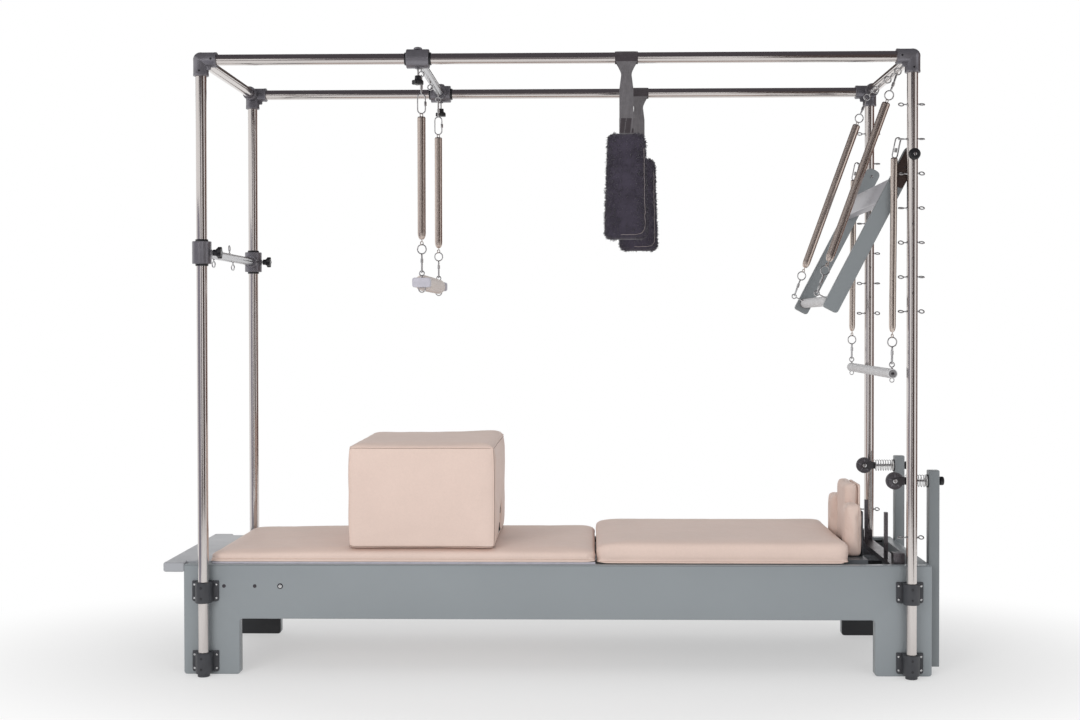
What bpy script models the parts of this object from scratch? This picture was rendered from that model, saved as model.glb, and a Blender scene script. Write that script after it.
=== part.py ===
"""A combo pilates reformer: a reformer bed under a four-post tower, set up as a mat.

Metres, +Z up. X runs from the foot end (-) to the head end (+), and -Y is the near side.
The origin is the middle of the bounding box, on the floor. Each sub-part is one object.
"""

import math

import bmesh
import bpy
from mathutils import Matrix, Vector

# Clearances
FIT = 0.0003  # between pieces that touch
RUN_FIT = 0.0025  # beside a piece that swings or rolls past another
HAIR = (1.3e-5, -1.7e-5, 1.1e-5)  # keeps the edges of joined solids out of one plane

# Bed frame
BED_LENGTH = 2.656
BED_WIDTH = 0.700
BOARD = 0.040
RAIL_TOP = 0.392
RAIL_DEPTH = 0.194
LEG_WIDTH = 0.200
LEG_CORNER = 0.012
PLATFORM_REACH = 0.076
PLATFORM_DEPTH = 0.168
PLATFORM_THICKNESS = 0.034
PLATFORM_RISE = 0.006
PLATFORM_CORNER = 0.012
TRACK_DROP = 0.062  # from the rails' top to the wheels' path
TRACK_LEDGE = 0.040
TRACK_HEIGHT = 0.072
TRACK_WALL = 0.005
TRACK_GAP = 0.001  # from the platform to the tracks
SPRING_BAR_AT = 0.300  # from the foot end
SPRING_BAR_WIDTH = 0.045
SPRING_BAR_HEIGHT = 0.025
SPRING_PEGS = 5
SPRING_PEG_PITCH = 0.090
SPRING_PEG = 0.012
RAIL_BOLTS = ((0.1442, 0.006), (0.2542, 0.006), (0.3452, 0.010))  # from the foot end, radius
RAIL_BOLT_HEIGHT = 0.315
RAIL_BOLT_HEAD = 0.002

# Tower
TUBE = 0.019
POST_INSET = 0.079
POST_OUTSTAND = 0.030
TOP_AXIS = 2.180
SLEEVE = 0.027
SLEEVE_LENGTH = 0.057
SLEEVE_FLOOR = 0.0025
FOOT_CAP = 0.0215
FOOT_CAP_HEIGHT = 0.012
BRACKET_WIDTH = 0.095
BRACKET_HEIGHT = 0.075
BRACKET_PLATE = 0.005
SADDLE = 0.0285
BRACKET_CORNER = 0.010
BRACKET_HEIGHTS = (0.048, 0.298)

# Eyebolts
WIRE = 0.0023
EYE = 0.0085
POST_EYE_REACH = 0.0395
POST_EYE_BACK = 0.033
POST_EYE_TOP = 2.012
POST_EYE_PITCH = 0.1205
POST_EYES = 7
POST_EYE_LOW = 0.497
POST_HOLE = 0.003
HANGING_EYE = 0.0095
HANGING_EYE_DROP = 0.036
CROSS_EYE = 0.012
CROSS_EYE_REACH = 0.046
CROSS_EYE_LEAN = math.radians(40)
SPRING_SPREAD = 0.280  # from the middle to a hanging spring
INNER_EYE_SPREAD = 0.110

# Collars that slide on the tubes, with the bar between them
COLLAR = 0.0335
COLLAR_LENGTH = 0.079
BUSH = 0.0225
BUSH_LENGTH = 0.0085
SOCKET = 0.0255
SOCKET_REACH = 0.055
CROSSBAR = 0.016
FOOT_BAR_HEIGHT = 1.501
TROLLEY_AT = -0.4725
TROLLEY_DOME = 0.015
TROLLEY_DOME_HEIGHT = 0.008
# the foot bar's eyes, as (place along the bar, up or down, turn of the eye about its stud)
FOOT_BAR_EYES = (
    (0.0, 1, math.radians(90)), (-0.225, -1, math.radians(45)), (0.050, -1, math.radians(45)),
)
FOOT_BAR_EYE = 0.0105
FOOT_BAR_EYE_REACH = 0.035

# Star knobs
KNOB = 0.0215
KNOB_DEPTH = 0.016
KNOB_LOBES = 5
KNOB_WAVE = 0.13  # the share of its radius between the lobes
HUB = 0.0123
HUB_LENGTH = 0.015
KNOB_SHAFT = 0.003
KNOB_SEAT = 0.010
FOOT_KNOB_STAND = 0.006
TROLLEY_KNOB_STAND = 0.0255

# Risers and pulleys
RISER_DEPTH = 0.038
RISER_WIDTH = 0.040
RISER_CORNER = 0.008
RISER_BOTTOM = 0.023
RISER_HEAD = 0.039  # above the pulleys' axis
RISER_SPREAD = 0.280
PULLEY_HEIGHT = 0.685
PULLEY_REACH = 0.118
PULLEY = 0.031
PULLEY_WIDTH = 0.016
PULLEY_GROOVE = 0.006
AXLE = 0.004
CHEEK = 0.003
CHEEK_ROUND = 0.019
NECK_REACH = 0.039
NECK = 0.010
NECK_WALL = 0.006
SWIVEL_SHAFT = 0.005
SWIVEL_KNOB = 0.0155
SWIVEL_KNOB_REACH = 0.019
WASHER = 0.022
WASHER_THICKNESS = 0.006
PULLEY_COIL = 0.0215
PULLEY_COIL_WIRE = 0.0012
PULLEY_COIL_TURNS = 7
PULLEY_COIL_POINTS = 8  # to each turn

# Push-through bar
PIVOT_HEIGHT = 1.836
PIVOT_HOLES = 5
PUSH_ANGLE = math.radians(27.6)
PUSH_ARM = 0.610
PUSH_ARM_HEAD = 0.030
PUSH_ARM_WIDTH = 0.057
PUSH_ARM_THICKNESS = 0.026
PUSH_ARM_CORNER = 0.010
PUSH_BEAM_AT = 0.103
PUSH_BEAM_WIDTH = 0.096
PUSH_BEAM_THICKNESS = 0.025
GRIP_AT = 0.572
GRIP = 0.0185
GRIP_EYE_REACH = 0.058
HINGE_PLATE_LENGTH = 0.075
HINGE_PLATE_WIDTH = 0.040
HINGE_PLATE_THICKNESS = 0.0015
PIVOT_PIN = 0.006
PIVOT_KNOB = 0.020
PIVOT_KNOB_DEPTH = 0.024
PIVOT_KNOB_CENTRE = 0.008

# Springs that hang on loops
COIL = 0.0150
ROLL_COIL = 0.0120
COIL_SHOULDER = 0.008
COIL_TAPER = 0.034
LINK_WIDTH = 0.016
SNAP = 0.067
CARABINER = 0.070
CARABINER_WIDTH = 0.028
END_RING = 0.033
HOOK = 0.020
ROLL_LINK = 0.060
ROLL_SNAP_WIDTH = 0.018

# Trapeze handle
HANDLE_HEIGHT = 1.397
HANDLE_BLOCK_DEPTH = 0.066
HANDLE_BLOCK_HEIGHT = 0.035
HANDLE_BLOCK_WIDTH = 0.032
HANDLE_BLOCK_INNER = 0.270
HANDLE_CORE = 0.009
HANDLE_ROLL = 0.0295
HANDLE_ROLL_EDGE = 0.008
HANDLE_EYE_RISE = 0.033
HANDLE_RING = 0.012

# Roll-down bar
ROLL_BAR = 0.017
ROLL_BAR_REACH = 0.390
ROLL_BAR_END = 0.004
ROLL_BAR_HEIGHT = 1.072
ROLL_BAR_EYE_RISE = 0.031
ROLL_BAR_OFFSET = 0.070  # from the post's axis
ROLL_HANG_EYE = 1  # which eye of the post, from the top
ROLL_SNAP_FOOT = (0.0633, 1.826)  # from the post's axis, and above the floor

# Fleece loops on the top rails
LOOP_AT = {"near": 0.260, "far": 0.328}
LOOP_WRAP = 0.080
LOOP_WRAP_THICKNESS = 0.004
STRAP_WIDTH = 0.050
STRAP_THICKNESS = 0.008
GATHER_WIDTH = 0.036
GATHER_BOTTOM = 2.122
FLEECE_TOP = 1.915
FLEECE_BOTTOM = 1.543
FLEECE_WIDTH = 0.152
FLEECE_THICKNESS = 0.056

# Carriage
CARRIAGE_FOOT_END = 0.1535
CARRIAGE_LENGTH = 0.976
CARRIAGE_BOARD = 0.026
CARRIAGE_CLEARANCE = 0.0065  # from the rails' top to the carriage's top
CARRIAGE_SIDE = 0.262
CARRIAGE_SIDE_WALL = 0.027
CARRIAGE_SIDE_DROP = 0.050
WHEEL_INSET = 0.120
WHEEL_CLEARANCE = 0.0188  # from a wheel's top to the carriage's top
WHEEL_WIDTH = 0.018
WHEEL_AXLE = 0.006
CARRIAGE_SPRINGS = (-0.180, -0.060, 0.060, 0.180)
CARRIAGE_COIL = 0.013
CARRIAGE_SPRING_LENGTH = 0.360
CARRIAGE_SPRING_START = 0.060
SPRING_ROD = 0.005

# Mats, box and rests
MAT_WIDTH = 0.660
MAT_CORNER = 0.035
CARRIAGE_MAT_LENGTH = 0.901
CARRIAGE_MAT_HEIGHT = 0.0635  # heights here are above the carriage's top
FILLER_MAT_HEIGHT = 0.0475
MAT_CROWN = 0.012
MAT_CROWN_RUN = 0.070
MAT_JOINT = 0.004
MAT_FOOT_GAP = 0.005
MAT_DRAWN = 0.006
RUNNER_WIDTH = 0.014
RUNNER_INSET = 0.002
BOX_LENGTH = 0.526
BOX_WIDTH = 0.550
BOX_HEIGHT = 0.372
BOX_CORNER = 0.014
BOX_CROWN = 0.012
BOX_AT = (-0.4755, -0.050)
BOX_SLOT_WIDTH = 0.110
BOX_SLOT_BOTTOM = 0.025
BOX_SLOT_HEIGHT = 0.110
BOX_SLOT_DEPTH = 0.040
REST_INNER = 0.100
REST_WIDTH = 0.110
REST_THICKNESS = 0.062
REST_RISE = 0.1935
REST_CORNER = 0.020
REST_PLATE = 0.005
REST_PLATE_INSET = 0.008  # from the carriage's head end
REST_PLATE_WIDTH = 0.060
REST_PLATE_RISE = 0.1635
REST_PIN = 0.005
REST_PIN_LENGTH = 0.022
HEADREST_WIDTH = 0.192
HEADREST_THICKNESS = 0.048
HEADREST_BOARD = 0.008
HEADREST_RISE = 0.2565
HEADREST_GAP = 0.0235
HEADREST_BACK = 0.010  # from the hinge axis to the back of its board
HINGE_RISE = 0.0105
HINGE_PIN = 0.004
HINGE_KNUCKLE = 0.008
HINGE_SPREAD = 0.160
HINGE_LUG = 0.012
HINGE_INSET = 0.006

# Strap pegs at the head end
PEG_SIDE = 0.013
PEG_SPREAD = 0.185
PEG_TOP = 0.560
PEG_RAIL_DEPTH = 0.050
PEG_RAIL_THICKNESS = 0.018
PEG_RAIL_AT = 0.137  # from the head end to the rail's foot-side edge
PEG_BLOCK_HEIGHT = 0.038
PEG_BLOCK_WIDTH = 0.040

# Places worked out from the driving dimensions
SWIVEL_HEAD_REACH = FIT + RISER_DEPTH + SWIVEL_KNOB_REACH
RISER_TOP = PULLEY_HEIGHT + RISER_HEAD
BED_FOOT = PLATFORM_REACH - (PLATFORM_REACH + BED_LENGTH + SWIVEL_HEAD_REACH) / 2
BED_HEAD = BED_FOOT + BED_LENGTH
BED_SIDE = BED_WIDTH / 2
INSIDE = BED_SIDE - BOARD
POST_SIDE = BED_SIDE + POST_OUTSTAND
FOOT_POST = BED_FOOT + POST_INSET
HEAD_POST = BED_HEAD - POST_INSET
RAIL_BOTTOM = RAIL_TOP - RAIL_DEPTH
PLATFORM_TOP = RAIL_TOP + PLATFORM_RISE
TUBE_END = TUBE + SLEEVE_FLOOR
PEG_RAIL_BOTTOM = RAIL_TOP - PEG_RAIL_THICKNESS
TRACK_TOP = RAIL_TOP - TRACK_DROP
CARRIAGE_TOP = RAIL_TOP + CARRIAGE_CLEARANCE
WHEEL = (CARRIAGE_TOP - TRACK_TOP - FIT - WHEEL_CLEARANCE) / 2
TRACK_START = BED_FOOT + PLATFORM_DEPTH - PLATFORM_REACH + TRACK_GAP
CARRIAGE_HEAD_END = CARRIAGE_FOOT_END + CARRIAGE_LENGTH
WHEEL_PLACES = (CARRIAGE_FOOT_END + WHEEL_INSET, CARRIAGE_HEAD_END - WHEEL_INSET)
WHEEL_HEIGHT = TRACK_TOP + FIT + WHEEL
CARRIAGE_MAT_TOP = CARRIAGE_TOP + CARRIAGE_MAT_HEIGHT
FILLER_MAT_TOP = CARRIAGE_TOP + FILLER_MAT_HEIGHT
REST_TOP = CARRIAGE_TOP + REST_RISE
REST_PLATE_TOP = CARRIAGE_TOP + REST_PLATE_RISE
HEADREST_TOP = CARRIAGE_TOP + HEADREST_RISE
HEADREST_BOTTOM = CARRIAGE_TOP + HEADREST_GAP
HINGE_HEIGHT = CARRIAGE_TOP + HINGE_RISE
FILLER_FOOT_END = BED_FOOT + PLATFORM_DEPTH - PLATFORM_REACH + MAT_FOOT_GAP
FILLER_HEAD_END = CARRIAGE_FOOT_END - MAT_JOINT
HINGE_AT = CARRIAGE_HEAD_END - HINGE_INSET
REST_BACK = CARRIAGE_HEAD_END - REST_PLATE_INSET
REST_MIDDLE = REST_BACK - REST_THICKNESS / 2
SIDES = (("near", -1), ("far", 1))


def srgb(red, green, blue):
    """The linear colour of an 8-bit screen colour."""
    return tuple((value / 255) ** 2.2 for value in (red, green, blue)) + (1.0,)


def material(name, colour, roughness, metallic=0.0):
    made = bpy.data.materials.new(name)
    made.use_nodes = True
    surface = made.node_tree.nodes["Principled BSDF"]
    surface.inputs["Base Color"].default_value = colour
    surface.inputs["Roughness"].default_value = roughness
    surface.inputs["Metallic"].default_value = metallic
    made.diffuse_color = colour
    return made


def clear_scene():
    for obj in list(bpy.data.objects):
        bpy.data.objects.remove(obj, do_unlink=True)


def link_mesh(mesh):
    obj = bpy.data.objects.new(mesh.name, mesh)
    bpy.context.scene.collection.objects.link(obj)
    return obj


def from_bmesh(bm, place=None):
    """A working solid from a bmesh, moved by a matrix where one is given."""
    if place is not None:
        bmesh.ops.transform(bm, matrix=place, verts=bm.verts)
    bmesh.ops.triangulate(bm, faces=[face for face in bm.faces if len(face.verts) == 4])
    bmesh.ops.recalc_face_normals(bm, faces=bm.faces)
    mesh = bpy.data.meshes.new("solid")
    bm.to_mesh(mesh)
    bm.free()
    return link_mesh(mesh)


def along(start, end):
    """The matrix that lays the Z axis from one point towards another."""
    start, end = Vector(start), Vector(end)
    turn = (end - start).to_track_quat("Z", "Y")
    return Matrix.Translation(start) @ turn.to_matrix().to_4x4(), (end - start).length


def box(low, high, place=None):
    low, high = Vector(low), Vector(high)
    bm = bmesh.new()
    bmesh.ops.create_cube(bm, size=1.0)
    bmesh.ops.scale(bm, vec=high - low, verts=bm.verts)
    bmesh.ops.translate(bm, vec=(low + high) / 2, verts=bm.verts)
    return from_bmesh(bm, place)


def rod(start, end, radius, sides=16, end_radius=None):
    """A round bar, or a cone where the far end has its own radius."""
    place, length = along(start, end)
    bm = bmesh.new()
    bmesh.ops.create_cone(
        bm, cap_ends=True, segments=sides, depth=length,
        radius1=radius, radius2=radius if end_radius is None else end_radius,
    )
    bmesh.ops.translate(bm, vec=(0, 0, length / 2), verts=bm.verts)
    return from_bmesh(bm, place)


def ball(centre, radius, sides=16):
    bm = bmesh.new()
    bmesh.ops.create_uvsphere(bm, u_segments=sides, v_segments=sides // 2, radius=radius)
    return from_bmesh(bm, Matrix.Translation(centre))


def turned(start, end, profile, sides=16, bore=False):
    """A turned solid: (distance, radius) pairs from start towards end, spun about that line."""
    place, _ = along(start, end)
    bm = bmesh.new()
    phase = math.pi / sides
    first = (math.cos(phase), math.sin(phase))
    verts = [bm.verts.new((radius * first[0], radius * first[1], distance))
             for distance, radius in profile]
    edges = [bm.edges.new(pair) for pair in zip(verts, verts[1:])]
    if bore:
        edges.append(bm.edges.new((verts[-1], verts[0])))
    bmesh.ops.spin(
        bm, geom=verts + edges, cent=(0, 0, 0), axis=(0, 0, 1), angle=math.tau, steps=sides,
        use_duplicate=False,
    )
    bmesh.ops.remove_doubles(bm, verts=bm.verts, dist=1e-6)
    return from_bmesh(bm, place)


def extruded(outline, depth, place):
    """A flat outline in X and Y, made solid along Z and then placed."""
    bm = bmesh.new()
    face = bm.faces.new([bm.verts.new((x, y, 0)) for x, y in outline])
    raised = bmesh.ops.extrude_face_region(bm, geom=[face])["geom"]
    corners = [item for item in raised if isinstance(item, bmesh.types.BMVert)]
    bmesh.ops.translate(bm, vec=(0, 0, depth), verts=corners)
    return from_bmesh(bm, place)


def wire(points, radius, closed=False, resolution=0):
    """A round wire along points, of 4 sides, or 2 more for each step of resolution."""
    curve = bpy.data.curves.new("wire", "CURVE")
    curve.dimensions = "3D"
    curve.bevel_depth = radius
    curve.bevel_resolution = resolution
    curve.use_fill_caps = True
    spline = curve.splines.new("POLY")
    spline.points.add(len(points) - 1)
    for slot, point in zip(spline.points, points):
        slot.co = (*point, 1.0)
    spline.use_cyclic_u = closed
    guide = link_mesh(curve)
    bpy.context.view_layer.update()
    graph = bpy.context.evaluated_depsgraph_get()
    mesh = bpy.data.meshes.new_from_object(guide.evaluated_get(graph))
    bpy.data.objects.remove(guide)
    bpy.data.curves.remove(curve)
    bm = bmesh.new()
    bm.from_mesh(mesh)
    bpy.data.meshes.remove(mesh)
    bmesh.ops.remove_doubles(bm, verts=bm.verts, dist=1e-6)
    return from_bmesh(bm)


def fused(base, add=(), cut=()):
    """The base joined with some solids and then cut by others, as one mesh."""
    for operation, tools in (("UNION", add), ("DIFFERENCE", cut)):
        for i, tool in enumerate(tools):
            tool.location += Vector(HAIR) * (1 + i % 3)
            step = base.modifiers.new(operation.title(), "BOOLEAN")
            step.operation = operation
            step.object = tool
    bpy.context.view_layer.update()
    graph = bpy.context.evaluated_depsgraph_get()
    mesh = bpy.data.meshes.new_from_object(base.evaluated_get(graph))
    base.modifiers.clear()
    base.data = mesh
    for tool in (*add, *cut):
        bpy.data.objects.remove(tool, do_unlink=True)
    return base


def finished(solid, name, finish, pivot=(0, 0, 0), smooth=True):
    """Names a solid as a sub-part, with its material and with its origin on its pivot."""
    solid.name = solid.data.name = name
    solid.data.transform(Matrix.Translation(-Vector(pivot)))
    solid.location = pivot
    solid.data.materials.clear()
    solid.data.materials.append(finish)
    if smooth:
        solid.data.shade_smooth()
        solid.data.set_sharp_from_angle(angle=math.radians(35))
    return solid


def rounded(corners, radius, steps=3):
    """An outline with each corner turned into an arc. The radius may be one per corner."""
    count = len(corners)
    radii = radius if isinstance(radius, (list, tuple)) else [radius] * count
    outline = []
    for i, corner in enumerate(corners):
        here = Vector(corner)
        back = (Vector(corners[i - 1]) - here).normalized()
        ahead = (Vector(corners[(i + 1) % count]) - here).normalized()
        if radii[i] <= 0:
            outline.append(tuple(here))
            continue
        half = back.angle(ahead) / 2
        centre = here + (back + ahead).normalized() * radii[i] / math.sin(half)
        start = here + back * radii[i] / math.tan(half) - centre
        end = here + ahead * radii[i] / math.tan(half) - centre
        sweep = start.angle_signed(end)
        for step in range(steps + 1):
            turn = Matrix.Rotation(-sweep * step / steps, 2)
            outline.append(tuple(centre + turn @ start))
    return outline


def rectangle(low, high):
    return [(low[0], low[1]), (high[0], low[1]), (high[0], high[1]), (low[0], high[1])]


def facing_y(y, depth_sign=1):
    """Lays an outline of X and Z values at a distance Y, to grow towards +Y."""
    return Matrix(((1, 0, 0, 0), (0, 0, depth_sign, y), (0, 1, 0, 0), (0, 0, 0, 1)))


def facing_x(x):
    """Lays an outline of Y and Z values at a distance X, to grow towards +X."""
    return Matrix(((0, 0, 1, x), (1, 0, 0, 0), (0, 1, 0, 0), (0, 0, 0, 1)))


def stadium(start, end, width, sideways, steps=4):
    """The centre line of an oval link between two points, as wide as said along sideways."""
    start, end = Vector(start), Vector(end)
    ahead = (end - start).normalized()
    sideways = Vector(sideways)
    sideways = (sideways - ahead * sideways.dot(ahead)).normalized() * width / 2
    points = []
    for centre, sense in ((start + ahead * width / 2, -1), (end - ahead * width / 2, 1)):
        for step in range(steps + 1):
            angle = math.pi * step / steps
            across = sideways * math.cos(angle) * -sense
            points.append(centre + across + ahead * sense * width / 2 * math.sin(angle))
    return points


def oval_link(start, end, width, sideways, radius=WIRE):
    return wire(stadium(start, end, width, sideways), radius, closed=True)


def round_ring(centre, radius, normal, thickness=WIRE, steps=8):
    normal = Vector(normal).normalized()
    first = normal.orthogonal().normalized()
    second = normal.cross(first)
    turns = [math.tau * step / steps for step in range(steps)]
    points = [
        Vector(centre) + (first * math.cos(turn) + second * math.sin(turn)) * radius
        for turn in turns
    ]
    return wire(points, thickness, closed=True)


def cushion(low, high, corner, crown, crown_run, place=None, drawn=0.006, steps=3):
    """An upholstered pad: sides drawn in at the bottom, a rounded edge and a crowned top."""
    height = high[2] - low[2]
    side = height - crown
    levels = [
        (0.0, drawn), (0.30 * side, drawn * 0.15), (0.70 * side, 0.0), (side, crown_run * 0.10),
        (side + crown * 0.60, crown_run * 0.45), (height, crown_run),
    ]
    bm = bmesh.new()
    rings = []
    for rise, inset in levels:
        inner = rectangle(
            (low[0] + inset, low[1] + inset), (high[0] - inset, high[1] - inset)
        )
        outline = rounded(inner, max(corner - inset * 0.5, corner * 0.4), steps)
        rings.append([bm.verts.new((x, y, low[2] + rise)) for x, y in outline])
    bm.faces.new(rings[0])
    bm.faces.new(rings[-1])
    for lower, upper in zip(rings, rings[1:]):
        for i in range(len(lower)):
            j = (i + 1) % len(lower)
            bm.faces.new((lower[i], lower[j], upper[j], upper[i]))
    return from_bmesh(bm, place)


def frustum(low_half, high_half, bottom, top, centre):
    """A tapering block: half sizes in X and Y at its bottom and at its top."""
    bm = bmesh.new()
    rings = []
    for half, height in ((low_half, bottom), (high_half, top)):
        corners = rectangle((-half[0], -half[1]), half)
        rings.append([bm.verts.new((centre[0] + x, centre[1] + y, height)) for x, y in corners])
    bm.faces.new(rings[0])
    bm.faces.new(rings[1])
    for i in range(4):
        j = (i + 1) % 4
        bm.faces.new((rings[0][i], rings[0][j], rings[1][j], rings[1][i]))
    return from_bmesh(bm)


def pillow(low, high, corner, place):
    """A pad rounded on both faces, flat in X and Y and as thick as its Z."""
    thick = high[2] - low[2]
    levels = [
        (0.0, 0.026), (0.16 * thick, 0.009), (0.38 * thick, 0.0),
        (0.62 * thick, 0.0), (0.84 * thick, 0.009), (thick, 0.026),
    ]
    bm = bmesh.new()
    rings = []
    for rise, inset in levels:
        inner = rectangle(
            (low[0] + inset, low[1] + inset), (high[0] - inset, high[1] - inset)
        )
        outline = rounded(inner, corner - inset * 0.4)
        rings.append([bm.verts.new((x, y, low[2] + rise)) for x, y in outline])
    bm.faces.new(rings[0])
    bm.faces.new(rings[-1])
    for lower, upper in zip(rings, rings[1:]):
        for i in range(len(lower)):
            j = (i + 1) % len(lower)
            bm.faces.new((lower[i], lower[j], upper[j], upper[i]))
    return from_bmesh(bm, place)


def clear_of(radius, sides):
    """The radius of a round cutter whose flats stay just clear of a bar."""
    return (radius + FIT) / math.cos(math.pi / sides)


def bore(start, end, radius, sides=16):
    return rod(start, end, clear_of(radius, sides), sides)


def bent_eye(centre, way, normal, eye, steps=7):
    """Points round an eye from its stud, open by one side, for a stud that points this way."""
    side = Vector(normal).cross(way)
    points = []
    for step in range(steps + 1):
        turn = math.pi + math.tau * step / (steps + 1)
        points.append(centre + (way * math.cos(turn) + side * math.sin(turn)) * eye)
    return points


def eyebolt(root, way, reach, normal, eye=EYE):
    """A wire that stands on a tube's axis and is bent to an eye at its end."""
    root, way = Vector(root), Vector(way).normalized()
    return [wire([root, *bent_eye(root + way * reach, way, normal, eye)], WIRE)]


def side_panel(name, side, finish):
    head, foot = BED_HEAD, BED_FOOT
    corners = [
        (foot, 0), (foot + LEG_WIDTH, 0), (foot + LEG_WIDTH, RAIL_BOTTOM),
        (head - LEG_WIDTH, RAIL_BOTTOM), (head - LEG_WIDTH, 0), (head, 0),
        (head, RAIL_TOP), (foot, RAIL_TOP),
    ]
    outline = rounded(corners, [LEG_CORNER] * 6 + [0, 0])
    panel = extruded(outline, BOARD, facing_y(side * BED_SIDE, -side))
    outer = MAT_WIDTH / 2 - RUNNER_INSET
    edges = sorted((side * outer, side * (outer - RUNNER_WIDTH)))
    runner = box(
        (FILLER_FOOT_END, edges[0], RAIL_TOP - FIT), (FILLER_HEAD_END, edges[1], CARRIAGE_TOP)
    )
    bolts = []
    for distance, radius in RAIL_BOLTS:
        face = (foot + distance, side * (BED_SIDE + RAIL_BOLT_HEAD), RAIL_BOLT_HEIGHT)
        root = (face[0], side * (BED_SIDE - RAIL_BOLT_HEAD), face[2])
        bolts.append(rod(root, face, radius, 8))
    return finished(fused(panel, [runner, *bolts]), name, finish)


def end_boards(finish):
    width = INSIDE - FIT
    head = box((BED_HEAD - BOARD, -width, RAIL_BOTTOM), (BED_HEAD, width, RAIL_TOP))
    finished(head, "head_board", finish)
    top = PLATFORM_TOP - PLATFORM_THICKNESS - FIT
    foot = box((BED_FOOT, -width, RAIL_BOTTOM), (BED_FOOT + BOARD, width, top))
    finished(foot, "foot_board", finish)


def standing_platform(finish):
    """A board that is as wide as the bed outside it, and fits between the panels inside."""
    outer, neck = BED_FOOT - PLATFORM_REACH, BED_FOOT - FIT
    inner, wide, narrow = outer + PLATFORM_DEPTH, BED_SIDE, INSIDE - FIT
    corners = [
        (outer, -wide), (neck, -wide), (neck, -narrow), (inner, -narrow),
        (inner, narrow), (neck, narrow), (neck, wide), (outer, wide),
    ]
    outline = rounded(corners, [PLATFORM_CORNER] + [0] * 6 + [PLATFORM_CORNER])
    place = Matrix.Translation((0, 0, PLATFORM_TOP - PLATFORM_THICKNESS))
    finished(extruded(outline, PLATFORM_THICKNESS, place), "standing_platform", finish)


def track(name, side, finish):
    """An upright web against the panel, with a ledge that the carriage wheels run on."""
    out, top = INSIDE - FIT, PEG_RAIL_BOTTOM - FIT
    inner, edge, low = out - TRACK_WALL, out - TRACK_LEDGE, TRACK_TOP - TRACK_WALL
    corners = [
        (out, top - TRACK_HEIGHT), (out, top), (inner, top), (inner, TRACK_TOP),
        (edge, TRACK_TOP), (edge, low), (inner, low), (inner, top - TRACK_HEIGHT),
    ]
    start, end = TRACK_START, BED_HEAD - BOARD - FIT
    outline = [(side * y, z) for y, z in corners]
    finished(extruded(outline, end - start, facing_x(start)), name, finish, smooth=False)


def spring_bar(finish):
    """A flat bar on the tracks' ledges, with a row of pegs for the carriage springs."""
    start = BED_FOOT + SPRING_BAR_AT
    width = INSIDE - TRACK_WALL - 2 * FIT
    low, high = TRACK_TOP + FIT, TRACK_TOP + FIT + SPRING_BAR_HEIGHT
    bar = box((start, -width, low), (start + SPRING_BAR_WIDTH, width, high))
    middle = start + SPRING_BAR_WIDTH / 2
    pegs = []
    for i in range(SPRING_PEGS):
        y = (i - (SPRING_PEGS - 1) / 2) * SPRING_PEG_PITCH
        pegs.append(rod((middle, y, high - FIT), (middle, y, high + SPRING_PEG), SPRING_ROD, 8))
    finished(fused(bar, pegs), "spring_bar", finish)


def bracket(x, side, height):
    """A plate on the panel's face with a saddle round the post."""
    half = BRACKET_HEIGHT / 2
    low, high = (x - BRACKET_WIDTH / 2, height - half), (x + BRACKET_WIDTH / 2, height + half)
    outline = rounded(rectangle(low, high), [BRACKET_CORNER] * 2 + [BRACKET_CORNER / 3] * 2)
    plate = extruded(outline, BRACKET_PLATE, facing_y(side * (BED_SIDE + FIT), side))
    y = side * POST_SIDE
    saddle = rod((x, y, height - half + FIT), (x, y, height + half - FIT), SADDLE, 16)
    return [plate, saddle]


def post_eyes(x, side):
    """Eyebolts through a head post: one eye towards the bed and one away from it."""
    y = side * POST_SIDE
    heights = [POST_EYE_TOP - i * POST_EYE_PITCH for i in range(POST_EYES)] + [POST_EYE_LOW]
    solids = []
    ahead, up = Vector((1, 0, 0)), Vector((0, 0, 1))
    for z in heights:
        inner = bent_eye(Vector((x - POST_EYE_REACH, y, z)), -ahead, up, EYE, 5)
        outer = bent_eye(Vector((x + POST_EYE_BACK, y, z)), ahead, up, EYE, 5)
        solids.append(wire([*reversed(inner), *outer], WIRE))
    return solids


def post(name, x, side, at_head, finish):
    y = side * POST_SIDE
    tube = rod((x, y, FIT), (x, y, TOP_AXIS - TUBE_END), TUBE)
    add = [rod((x, y, 0), (x, y, FOOT_CAP_HEIGHT), FOOT_CAP)]
    for height in BRACKET_HEIGHTS:
        add += bracket(x, side, height)
    cut = []
    if at_head:
        add += post_eyes(x, side)
        through = FOOT_CAP * 2
        across = ((x, y - through, PIVOT_HEIGHT), (x, y + through, PIVOT_HEIGHT))
        cut.append(bore(*across, PIVOT_PIN, sides=12))
        for i in range(1, PIVOT_HOLES):
            z = PIVOT_HEIGHT - i * POST_EYE_PITCH
            cut.append(rod((x, y - through, z), (x, y + through, z), POST_HOLE, 6))
    return finished(fused(tube, add, cut), name, finish)


def corner_fitting(name, x, side, finish):
    """A rounded three-way elbow, bored for the post, a top rail and a top tube."""
    centre = Vector((x, side * POST_SIDE, TOP_AXIS))
    ways = (Vector((-math.copysign(1, x), 0, 0)), Vector((0, -side, 0)), Vector((0, 0, -1)))
    body = ball(centre, SLEEVE + FIT, 12)
    sleeves = [rod(centre, centre + way * SLEEVE_LENGTH, SLEEVE) for way in ways]
    bores = [
        bore(centre + way * (TUBE_END - FIT), centre + way * SLEEVE_LENGTH * 1.2, TUBE, sides=12)
        for way in ways
    ]
    return finished(fused(body, sleeves, bores), name, finish)


def top_rails(finish):
    for label, side in SIDES:
        y = side * POST_SIDE
        start, end = FOOT_POST + TUBE_END, HEAD_POST - TUBE_END
        rail = rod((start, y, TOP_AXIS), (end, y, TOP_AXIS), TUBE)
        finished(rail, f"top_rail_{label}", finish)


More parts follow.
